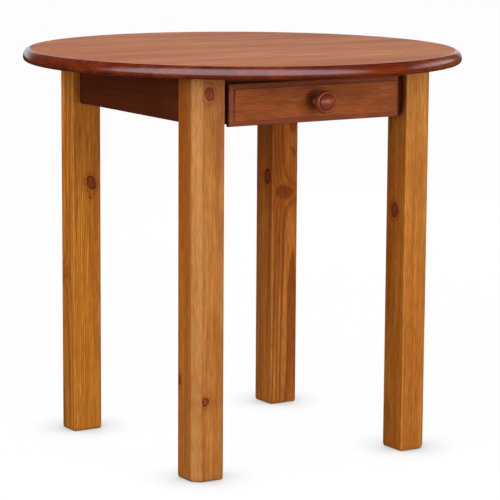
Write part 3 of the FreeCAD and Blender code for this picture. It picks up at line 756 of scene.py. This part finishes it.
stained_front = wood_finish(
    "stained_front",
    pale=rgb(0.32, 0.085, 0.020),
    deep=rgb(0.22, 0.054, 0.014),
    late=rgb(0.15, 0.034, 0.010),
    # edge colour: a painted shade along the softened edge of the field
    edge_wear_and_shading=rgb(0.16, 0.042, 0.018),
    lines=0.15,
    fine=0.3,
    # painted shade in the nooks and round the knob's foot
    nook_shade=0.8,
    roughness=0.42,
    level=0.10,
)
# the moulding's stain, painted a little darker than the field: a painted shade on the lip
moulding_stain_and_shade = wood_finish(
    "moulding_stain_and_shade",
    pale=rgb(0.265, 0.070, 0.026),
    deep=rgb(0.18, 0.046, 0.019),
    late=rgb(0.125, 0.030, 0.014),
    lines=0.15,
    fine=0.2,
    # painted shade in the nooks
    nook_shade=0.7,
    roughness=0.36,
    level=0.15,
)
stained_knob = wood_finish(
    "stained_knob",
    pale=rgb(0.25, 0.048, 0.014),
    deep=rgb(0.18, 0.033, 0.010),
    late=rgb(0.12, 0.022, 0.007),
    lines=0.25,
    roughness=0.38,
    level=0.6,
    relief=0.02 * MM,
)
print("stained woods mixed")


# %% Bare wood and zinc for the pieces inside
def bare_wood(name, along, pale, late, ring_width=3.5 * MM):
    """Planed wood without stain, in the object's own space, with its fibres along one axis."""
    material, recipe = new_material(name)
    turn = {"X": (0, 0, 0), "Y": (0, 0, -math.pi / 2), "Z": (0, math.pi / 2, 0)}[along]
    place = recipe.own_place()
    place = recipe.node("Mapping", {"Vector": place, "Rotation": turn})
    sway = recipe.noise(recipe.scaled(place, (2.0, 10.0, 10.0)), detail=1.0, output="Color")
    bent = recipe.vector("ADD", place, recipe.scaled(sway, (0.0, 0.02, 0.02)))
    from_pith = recipe.length(recipe.scaled(bent, (0.0, 1.0, 1.0)))
    lines = ring_lines(recipe, recipe.math("DIVIDE", from_pith, ring_width))
    hair, streak, cloud = fibres(recipe, place)
    colour = recipe.tinted(pale, late, lines, 0.6)
    colour = recipe.tinted(colour, late, cloud, 0.15)
    shade = recipe.line(recipe.math("ADD", hair, streak), 0.24, 0.76)
    colour = recipe.shaded(colour, shade)
    height = recipe.math("ADD", lines, hair)
    gloss = recipe.line(streak, 0.12, 0.6)
    recipe.finish(colour, gloss, height, 0.5, 0.06 * MM, {"Specular IOR Level": 0.3})
    return material


def zinc():
    """Bright zinc plate: fine random scratches and a faint bluish and yellow bloom."""
    material, recipe = new_material("zinc_steel")
    place = recipe.own_place()
    bloom = recipe.ramp(recipe.noise(place, scale=260.0, detail=2.0), 0.35, 0.65)
    scratches = recipe.noise(recipe.scaled(place, (900.0, 900.0, 5200.0)), detail=2.0)
    colour = recipe.mix(bloom, rgb(0.60, 0.62, 0.64), rgb(0.66, 0.63, 0.56))
    gloss = recipe.line(scratches, 0.22, 0.22)
    recipe.finish(colour, gloss, scratches, 0.3, 0.02 * MM, {"Metallic": 1.0})
    return material


RAW_PALE, RAW_LATE = rgb(0.72, 0.50, 0.27), rgb(0.55, 0.30, 0.12)
PLY_PALE, PLY_LATE = rgb(0.74, 0.56, 0.35), rgb(0.64, 0.44, 0.24)
BEECH_PALE, BEECH_LATE = rgb(0.66, 0.42, 0.24), rgb(0.55, 0.32, 0.17)
raw_pine = {along: bare_wood(f"raw_pine_{along.lower()}", along, RAW_PALE, RAW_LATE) for along in "XYZ"}
birch_ply = bare_wood("birch_ply", "X", PLY_PALE, PLY_LATE, ring_width=9 * MM)
beech = bare_wood("beech_dowel", "X", BEECH_PALE, BEECH_LATE, ring_width=2 * MM)
zinc_steel = zinc()

SCREWS = ("corner_block_screws", "tabletop_screws", "kicker_screws", "knob_screw")
BOX_SCREWS = ("drawer_box_screws", "drawer_front_screws")
INNER_FINISHES = [  # each finish with the beginnings of its pieces' names
    (raw_pine["X"], ("drawer_box_front", "drawer_back")),
    (raw_pine["Y"], ("drawer_runner", "drawer_guide", "drawer_kicker", "drawer_side")),
    (raw_pine["Z"], ("corner_block_front", "corner_block_back")),
    (birch_ply, ("drawer_bottom",)),
    (beech, ("apron_dowels", "runner_dowels")),
    (zinc_steel, ("hanger_bolt", *SCREWS, *BOX_SCREWS)),
]
for finish, beginnings in INNER_FINISHES:
    painted = [piece for name, piece in nodes.items() if name.startswith(beginnings)]
    for piece in painted:
        piece.data.materials.clear()
        piece.data.materials.append(finish)
    print(f"{finish.name}: {len(painted)} pieces")

# %% [markdown]
# ## Surfaces from formulas
#
# A board is an outline carried along a line. That is one grid of points, a row for each station along the
# board and a column for each point of the outline, and numpy works out the whole grid at once. Rounding an
# end over is only a matter of drawing the outline in at the last few stations. Every new piece goes through
# the same last step: it is put into a mesh, doubles are merged, its faces are turned outwards, and each
# point is told where in its log it grew.


# %% Outlines
def rounded_outline(corners, radii, steps=6):
    """A closed outline and its outward normals, with each corner turned through an arc.

    At a corner P between unit directions a and b to its neighbours, with the angle t between them, the arc
    of radius r has its centre at P + (a + b) / |a + b| * r / sin(t / 2). Corners run counter-clockwise."""
    corner = np.array(corners, float)
    radius = np.broadcast_to(np.array(radii, float), len(corner))[:, None]
    before = np.roll(corner, 1, axis=0) - corner
    after = np.roll(corner, -1, axis=0) - corner
    before /= np.linalg.norm(before, axis=1, keepdims=True)
    after /= np.linalg.norm(after, axis=1, keepdims=True)
    half = np.arccos(np.clip((before * after).sum(axis=1), -1, 1))[:, None] / 2
    middle = (before + after) / np.linalg.norm(before + after, axis=1, keepdims=True)
    centre = corner + middle * radius / np.sin(half)
    first = np.arctan2(before[:, :1], -before[:, 1:])
    turn = math.pi - 2 * half
    angle = first + turn * np.linspace(0, 1, steps)[None, :]
    normals = np.stack([np.cos(angle), np.sin(angle)], axis=-1)
    points = centre[:, None, :] + radius[:, None, :] * normals
    return points.reshape(-1, 2), normals.reshape(-1, 2)


# %% Boards along a line
def loop_quads(rows, columns):
    """Quads between neighbouring rows of closed loops; corner (i, j) is point i * columns + j."""
    i, j = np.meshgrid(np.arange(rows - 1), np.arange(columns), indexing="ij")
    beside = (j + 1) % columns
    quads = [i * columns + j, i * columns + beside, (i + 1) * columns + beside, (i + 1) * columns + j]
    return np.stack(quads, axis=-1).reshape(-1, 4)


def tube(grid, first=True, last=True):
    """Faces of a grid whose rows are closed loops, with a flat face over its first and its last row."""
    rows, columns = grid.shape[:2]
    ends = [list(range(columns))] if first else []
    ends += [list(range((rows - 1) * columns, rows * columns))] if last else []
    return loop_quads(rows, columns).tolist() + ends


END_ROW = 0.5 * MM  # a row this near a sawn end keeps the end's mixed normals off the board's faces


def rounded_end(depth, inset, steps=6):
    """Stations of a rounded end: distance from the end and how far the outline is drawn in."""
    angle = np.linspace(0, math.pi / 2, steps)
    return depth * (1 - np.sin(angle)), inset * (1 - np.cos(angle))


def carried(outline, normals, stations, insets):
    """The outline at each station along the board, drawn in along its normals by that station's inset."""
    flat = outline[None, :, :] - normals[None, :, :] * np.asarray(insets)[:, None, None]
    along = np.broadcast_to(np.asarray(stations)[:, None, None], flat.shape[:2] + (1,))
    return np.concatenate([flat, along], axis=-1)


# %% Logs and wear
LOG_ORDER = {"X": (0, 1, 2), "Y": (1, 0, 2), "Z": (2, 0, 1)}  # along the board, then the two axes across it


def read_vectors(items, what):
    """An array with three numbers, such as a place or a normal, for each vertex or face of a mesh."""
    flat = np.empty(len(items) * 3, np.float32)
    items.foreach_get(what, flat)
    return flat.reshape(-1, 3)


def grow_log(mesh, along, pith, start, roll=0.0):
    """Writes where in its log each point grew: along it, then across it from the pith, turned by roll."""
    place = read_vectors(mesh.vertices, "co")[:, LOG_ORDER[along]]
    u, v = place[:, 1] - pith[0], place[:, 2] - pith[1]
    turned = (u * math.cos(roll) - v * math.sin(roll), u * math.sin(roll) + v * math.cos(roll))
    rolled = np.stack([place[:, 0] + start, *turned])
    log = mesh.attributes.new("log", "FLOAT_VECTOR", "POINT")
    log.data.foreach_set("vector", np.ascontiguousarray(rolled.T, np.float32).ravel())


def mark_wear_and_shading(mesh):
    """Writes 0 where a point faces straight along an axis, and up to 1 on the slanting edges."""
    straight = np.abs(read_vectors(mesh.vertices, "normal")).max(axis=1)
    wear_and_shading = mesh.attributes.new("wear_and_shading", "FLOAT", "POINT")
    wear_and_shading.data.foreach_set("value", np.clip((1 - straight) / (1 - math.sqrt(0.5)), 0, 1))


# %% New pieces
def new_piece(node, grid, faces, finish, body, log, sharp=30.0):
    """Makes the piece that stands for a node: a closed mesh at the origin, with its finish and body."""
    name = f"{node}_finished"
    mesh = bpy.data.meshes.new(name)
    mesh.from_pydata(np.asarray(grid, float).reshape(-1, 3).tolist(), [], faces)
    closing = bmesh.new()
    closing.from_mesh(mesh)
    bmesh.ops.remove_doubles(closing, verts=closing.verts, dist=0.002 * MM)
    bmesh.ops.dissolve_degenerate(closing, edges=closing.edges, dist=0.001 * MM)
    bmesh.ops.recalc_face_normals(closing, faces=closing.faces)
    open_edges = sum(not edge.is_manifold for edge in closing.edges)
    volume = closing.calc_volume(signed=True)
    closing.to_mesh(mesh)
    closing.free()
    mesh.polygons.foreach_set("use_smooth", [True] * len(mesh.polygons))
    mesh.set_sharp_from_angle(angle=math.radians(sharp))
    grow_log(mesh, **log)
    mark_wear_and_shading(mesh)
    mesh.materials.append(finish)
    piece = in_scene(name, mesh)
    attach(piece, body)
    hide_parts(node)
    note = f"  OPEN EDGES {open_edges}" if open_edges else ""
    print(f"{name}: {len(mesh.polygons)} faces, {volume * 1e6:.0f} cm3{note}")
    return piece


def second_finish(piece, finish, chosen):
    """Gives the piece another finish on the faces where chosen is true."""
    piece.data.materials.append(finish)
    piece.data.polygons.foreach_set("material_index", chosen.astype(np.int32))


# %% [markdown]
# ## The tabletop
#
# The top is eight boards, glued edge to edge and then cut round, and its rim is moulded with a large
# quarter oval above and a small one below. Each board is a surface of its own. At every level of the
# moulding the rim is a circle, so the board's rim is the stretch of that circle between its two glue lines.
# One row of the grid joins these circles' points into a loop: up the moulding on the right, across the top,
# down the moulding on the left and back underneath.

# %% Tabletop boards
EDGE_UPPER_REACH = 12 * MM
EDGE_LOWER_REACH = 7 * MM
EDGE_LOWER_DEPTH = 6.5 * MM  # how far above the underside the top is widest
BOARDS = sum(name.startswith("tabletop_stave") for name in nodes)
ROW_SPACING = 5 * MM
LOG_PIECE = 1.37  # metres of log that each board takes, so that no two show the same stretch

top_low, top_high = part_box("tabletop_stave_4")
rim_radius = top_high.x
under_z, over_z = top_low.z, top_high.z
widest_z = under_z + EDGE_LOWER_DEPTH
board_width = 2 * rim_radius / BOARDS


def rim_moulding(low_steps=8, high_steps=16):
    """Radius and height up the moulding: two quarter ovals that meet where the top is widest."""
    low = np.linspace(-math.pi / 2, 0, low_steps, endpoint=False)
    high = np.linspace(0, math.pi / 2, high_steps)
    low_radius = rim_radius - EDGE_LOWER_REACH * (1 - np.cos(low))
    high_radius = rim_radius - EDGE_UPPER_REACH * (1 - np.cos(high))
    low_z = widest_z + EDGE_LOWER_DEPTH * np.sin(low)
    high_z = widest_z + (over_z - widest_z) * np.sin(high)
    return np.concatenate([low_radius, high_radius]), np.concatenate([low_z, high_z])


def tabletop_board(y_low, y_high):
    """Grid of one board between two glue lines.

    Level k of the moulding has radius r and runs from the angle asin(y_low / r) to asin(y_high / r), so its
    point is (r cos t, r sin t). The top and underside are straight lines between the left and right rims.
    Points close to the rims keep these flat faces flat in the shading."""
    radius, height = rim_moulding()
    first = np.arcsin(np.clip(y_low / radius, -1, 1))
    last = np.arcsin(np.clip(y_high / radius, -1, 1))
    rows = 6 + int((last - first).max() * rim_radius / ROW_SPACING)
    share = np.linspace(0, 1, rows)[:, None]
    angle = first[None, :] * (1 - share) + last[None, :] * share
    x, y = radius * np.cos(angle), radius * np.sin(angle)
    z = np.broadcast_to(height, x.shape)
    right_rim = np.stack([x, y, z], axis=-1)
    left_rim = np.stack([-x, y, z], axis=-1)
    across = np.array([0.998, 0.985, 0.93, 0.75, 0.5, 0.25, 0.0])
    across = np.concatenate([across, -across[-2::-1]])[None, :, None]
    level = (rows, across.size, 2)
    top = np.concatenate([x[:, -1:, None] * across, np.broadcast_to(right_rim[:, -1:, 1:], level)], axis=-1)
    under = np.concatenate([x[:, :1, None] * -across, np.broadcast_to(right_rim[:, :1, 1:], level)], axis=-1)
    return np.concatenate([right_rim, top, left_rim[:, ::-1], under], axis=1)


board_turns = np.random.default_rng(7)
for number in range(BOARDS):
    y_low = number * board_width - rim_radius
    y_high = y_low + board_width
    board = tabletop_board(y_low, y_high)
    side = 1 if number % 2 else -1
    pith_y = (y_low + y_high) / 2 + board_turns.uniform(-0.03, 0.03)
    pith_z = over_z - side * board_turns.uniform(0.05, 0.11)
    roll = board_turns.uniform(-0.5, 0.5)
    log = dict(along="X", pith=(pith_y, pith_z), start=number * LOG_PIECE, roll=roll)
    node = f"tabletop_stave_{number + 1}"
    faces = tube(board, first=number > 0, last=number < BOARDS - 1)
    piece = new_piece(node, board, faces, stained_top, "table", log)
    second_finish(piece, stained_edge, np.abs(read_vectors(piece.data.polygons, "normal")[:, 2]) < 0.999)

# %% [markdown]
# ## The legs
#
# Each leg is a square post with its outer corner cut off, all its long edges softened and its foot rounded,
# so that it doesn't splinter when it is dragged. It could be a cube with bevels, but the outline carried up
# the leg also makes the small step near the top, where the inner corner is cut away for the corner block.

# %% Legs
LEG_CHAMFER = 14 * MM
LEG_ARRIS = 3 * MM
LEG_SEAT = 12 * MM  # how much of the inner corner's sides the seat for the corner block takes
FOOT_HEIGHT = 7 * MM
ARC_STEPS = 7
ROW_STEP = 8 * MM

base_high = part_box("leg_back_right")[1]
leg_top = base_high.z
block_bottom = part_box("corner_block_front_left")[0].z


def leg_grid():
    """Grid of one leg in its corner's own axes: u and v run inwards from its two outer faces, z is up.

    From the corner block's underside up, the inner corner's arc is a straight cut across the corner."""
    corners = [(LEG_CHAMFER, 0), (LEG, 0), (LEG, LEG), (0, LEG), (0, LEG_CHAMFER)]
    outline, normals = rounded_outline(corners, LEG_ARRIS, ARC_STEPS)
    inner = slice(2 * ARC_STEPS, 3 * ARC_STEPS)
    share = np.linspace(0, 1, ARC_STEPS)[:, None]
    seated, square = outline.copy(), normals.copy()
    seat_start, seat_end = np.array([LEG, LEG - LEG_SEAT]), np.array([LEG - LEG_SEAT, LEG])
    seated[inner] = seat_start * (1 - share) + seat_end * share
    foot, inset = rounded_end(FOOT_HEIGHT, LEG_ARRIS)
    rows = np.arange(FOOT_HEIGHT + ROW_STEP, block_bottom - ROW_STEP / 2, ROW_STEP)
    stations = np.concatenate([foot[::-1], rows, [block_bottom - END_ROW, block_bottom]])
    drawn_in = np.concatenate([inset[::-1], np.zeros(len(rows) + 2)])
    lower = carried(outline, normals, stations, drawn_in)
    stations = [block_bottom, block_bottom + END_ROW, leg_top - END_ROW, leg_top]
    return np.concatenate([lower, carried(seated, square, stations, [0] * len(stations))])


LEG_CORNERS = {"front_left": (-1, -1), "front_right": (1, -1), "back_left": (-1, 1), "back_right": (1, 1)}
# Where the pith lies from each leg's middle, in millimetres.
LEG_PITHS = {"front_left": (12, 70), "front_right": (-75, 20), "back_left": (-95, 5), "back_right": (15, 60)}
post = leg_grid()
for number, (corner, (side_x, side_y)) in enumerate(LEG_CORNERS.items()):
    outer = np.array([base_high.x * side_x, base_high.y * side_y])
    leg = post.copy()
    leg[..., :2] = outer - leg[..., :2] * (side_x, side_y)
    middle = outer - LEG / 2 * np.array([side_x, side_y])
    pith = middle + np.array(LEG_PITHS[corner]) * MM
    log = dict(along="Z", pith=pith, start=number * 2.3 + 0.4)
    new_piece(f"leg_{corner}", leg, tube(leg), honey_pine[corner], "table", log)

# %% [markdown]
# ## Aprons and the front rail
#
# The aprons join the legs just under the top and stand a little behind their faces, which throws a shadow
# line. Only their lower outer edge is rounded, where a knee could meet it. The front one is built up from
# four pieces round the drawer's window. They are all outlines carried along X or Y.

# %% Boards along an axis
APRON_ARRIS = 5 * MM
EASED = 0.4 * MM
BOARD_ROW = 20 * MM


def board_grid(node, along, radii):
    """A board in its node's box: its outline carried along X or Y.

    The outline starts at the corner that is lowest on the box's other two axes and runs along the first."""
    low, high = (np.array(corner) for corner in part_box(node))
    axis, u, v = LOG_ORDER[along]
    corners = [(low[u], low[v]), (high[u], low[v]), (high[u], high[v]), (low[u], high[v])]
    outline, normals = rounded_outline(corners, radii)
    length = high[axis] - low[axis]
    rows = np.linspace(low[axis] + END_ROW, high[axis] - END_ROW, 3 + int(length / BOARD_ROW))
    stations = np.concatenate([[low[axis]], rows, [high[axis]]])
    grid = carried(outline, normals, stations, np.zeros(len(stations)))
    board = np.empty_like(grid)
    board[..., [u, v, axis]] = grid
    return board


# %% Aprons and front rail
def table_board(name, along, radii, pith, start):
    """A stained board of the table's frame that stands for its node."""
    grid = board_grid(name, along, radii)
    log = dict(along=along, pith=pith, start=start)
    new_piece(name, grid, tube(grid), stained_apron, "table", log)


SHARP = [EASED] * 4
LOW_FIRST = [APRON_ARRIS, EASED, EASED, EASED]  # rounded at the outline's first corner
LOW_SECOND = [EASED, APRON_ARRIS, EASED, EASED]
table_board("apron_left", "Y", LOW_FIRST, (-0.20, 0.60), 0.3)
table_board("apron_right", "Y", LOW_SECOND, (0.30, 0.655), 1.9)
table_board("apron_back", "X", LOW_SECOND, (0.30, 0.64), 3.1)
table_board("front_rail_upper", "X", SHARP, (-0.15, 0.66), 4.4)
table_board("front_rail_lower", "X", LOW_FIRST, (-0.15, 0.60), 5.2)
table_board("front_rail_end_left", "X", SHARP, (-0.16, 0.63), 6.1)
table_board("front_rail_end_right", "X", SHARP, (-0.16, 0.69), 6.8)

# %% [markdown]
# ## The drawer front
#
# The front hangs over the window on all sides. Its edge is moulded all round, as a router leaves it: the
# flat field stands proud, then comes a step down to the lip, and the lip slopes gently away to a quarter
# round. The moulding is painted a little darker than the field, a painted shade on the lip, so it has a
# finish of its own. A Bevel modifier can't make that profile without help. Here the upright outline of the
# board is drawn again at each station of the profile, with its four sides moved in and its corners mitred.

# %% Drawer front
LIP_WIDTH = 9.5 * MM
LIP_STEP = 3 * MM
LIP_SLOPE = 2 * MM  # how far the lip falls away towards its round
LIP_ROUND = 4 * MM
FRONT_CORNER = 1.2 * MM
FIELD_EDGE = 0.6 * MM
FIELD_MARGIN = 1.5 * MM  # a row of points inside the field's edge keeps the field flat in the shading
STEP_SLANT = 0.5 * MM


def lip_profile(steps=10):
    """Inset and depth at each station, from the field to the back of the quarter round.

    On the round, the inset is r (1 - sin t) and the depth is step plus slope plus r (1 - cos t)."""
    turn = np.linspace(0, math.pi / 2, steps)
    field = [(FIELD_MARGIN, 0.0), (FIELD_EDGE, 0.0), (0.0, FIELD_EDGE)]
    edge = np.array(field + [(0.0, LIP_STEP), (-STEP_SLANT, LIP_STEP)]) + (LIP_WIDTH, 0.0)
    lip = [LIP_ROUND * (1 - np.sin(turn)), LIP_STEP + LIP_SLOPE + LIP_ROUND * (1 - np.cos(turn))]
    lip = np.stack(lip, axis=1)
    return np.concatenate([edge, lip])


def mitred_frame(low, high, inset):
    """The upright outline between two corners (x, z), with all sides moved in by the inset."""
    (left, bottom), (right, top) = np.array(low) + inset, np.array(high) - inset
    return rounded_outline([(left, bottom), (right, bottom), (right, top), (left, top)], FRONT_CORNER)[0]


front_low, front_high = (np.array(corner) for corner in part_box("drawer_front"))
profile = lip_profile()
thickness = front_high[1] - front_low[1]
profile = np.concatenate([profile, [(0.0, thickness - END_ROW), (0.0, thickness)]])
loops = np.stack([mitred_frame(front_low[::2], front_high[::2], inset) for inset, depth in profile])
depths = np.broadcast_to(front_low[1] + profile[:, 1:, None], loops.shape[:2] + (1,))
grid = np.concatenate([loops[..., :1], depths, loops[..., 1:]], axis=-1)
log = dict(along="X", pith=(-0.20, 0.60), start=2.2)
piece = new_piece("drawer_front", grid, tube(grid), stained_front, "drawer", log)
centres = read_vectors(piece.data.polygons, "center")
# the moulding's faces take the darker finish, a painted shade
second_finish(piece, moulding_stain_and_shade, centres[:, 1] > front_low[1] + FIELD_EDGE)

# %% [markdown]
# ## The knob
#
# The knob is turned on a lathe: a foot, a waist, a flare that opens into a round rim, a fine step inside
# the rim and a domed face. A Spin or a Screw modifier could make it. As a formula it is a grid again: its
# profile gives a radius at each distance from the drawer front, and the angle turns it round the axis.

# %% Knob
KNOB_FOOT = (10.0 * MM, 3.0 * MM)  # radius and distance from the drawer front
KNOB_WAIST = (7.5 * MM, 9.0 * MM)
KNOB_RIM_BACK = (17.4 * MM, 20.5 * MM)
KNOB_RIM_FRONT = (17.4 * MM, 31.7 * MM)
KNOB_FACE = (14.8 * MM, 33.7 * MM)
KNOB_GROOVE = 0.9 * MM  # depth of the groove round the foot of the domed face
KNOB_GROOVE_WIDTH = 1.2 * KNOB_GROOVE
KNOB_STEPS = 9
KNOB_SIDES = 96

knob_low, knob_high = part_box("drawer_knob")
knob_radius = (knob_high.x - knob_low.x) / 2
knob_reach = knob_high.y - knob_low.y
knob_z = (knob_low.z + knob_high.z) / 2


def blend_line(start, end, power, steps=KNOB_STEPS):
    """Radius and distance from start to end, where the radius follows a power of the distance's share."""
    share = np.linspace(0, 1, steps)[:, None]
    radius = start[0] + (end[0] - start[0]) * share**power
    distance = start[1] + (end[1] - start[1]) * share
    return np.concatenate([radius, distance], axis=1)


def knob_profile():
    """Radius and distance at each point of the profile, from the foot's middle to the middle of the face.

    A dome h high over a foot of radius r is part of a ball of radius (r squared + h squared) / 2 h."""
    turn = np.linspace(0, math.pi, KNOB_STEPS)
    middle = (KNOB_RIM_BACK[1] + KNOB_RIM_FRONT[1]) / 2
    half = (KNOB_RIM_FRONT[1] - KNOB_RIM_BACK[1]) / 2
    root = KNOB_RIM_BACK[0] + (KNOB_RIM_FRONT[0] - KNOB_RIM_BACK[0]) * turn / math.pi
    bulge = (knob_radius - KNOB_RIM_BACK[0]) * np.sin(turn)
    rim = np.stack([root + bulge, middle - half * np.cos(turn)], axis=1)
    share = np.linspace(0, 1, 2 * KNOB_STEPS)
    height = knob_reach - KNOB_FACE[1]
    ball = (KNOB_FACE[0] ** 2 + height**2) / (2 * height)
    swing = math.asin(KNOB_FACE[0] / ball) * (1 - share)
    dome = np.stack([ball * np.sin(swing), knob_reach - ball * (1 - np.cos(swing))], axis=1)
    foot = np.array([(0, 0), (KNOB_FOOT[0], 0)])
    waist = blend_line(KNOB_FOOT, KNOB_WAIST, 0.6)
    flare = blend_line(KNOB_WAIST, KNOB_RIM_BACK, 2.2)[1:]
    groove = KNOB_RIM_FRONT[1] - KNOB_GROOVE
    step = np.array([(KNOB_FACE[0] + KNOB_GROOVE_WIDTH, KNOB_RIM_FRONT[1]), (KNOB_FACE[0], groove)])
    return np.concatenate([foot, waist, flare, rim[1:], step, dome])


profile = knob_profile()
angle = np.linspace(0, 2 * math.pi, KNOB_SIDES, endpoint=False)[None, :]
reach, radius = profile[:, 1:], profile[:, :1]
depth = knob_high.y - reach + 0 * angle
knob = np.stack([radius * np.cos(angle), depth, knob_z + radius * np.sin(angle)], axis=-1)
log = dict(along="Y", pith=(-0.012, knob_z + 0.03), start=0.8)
faces = tube(knob, first=False, last=False)
new_piece("drawer_knob", knob, faces, stained_knob, "drawer", log, sharp=40.0)
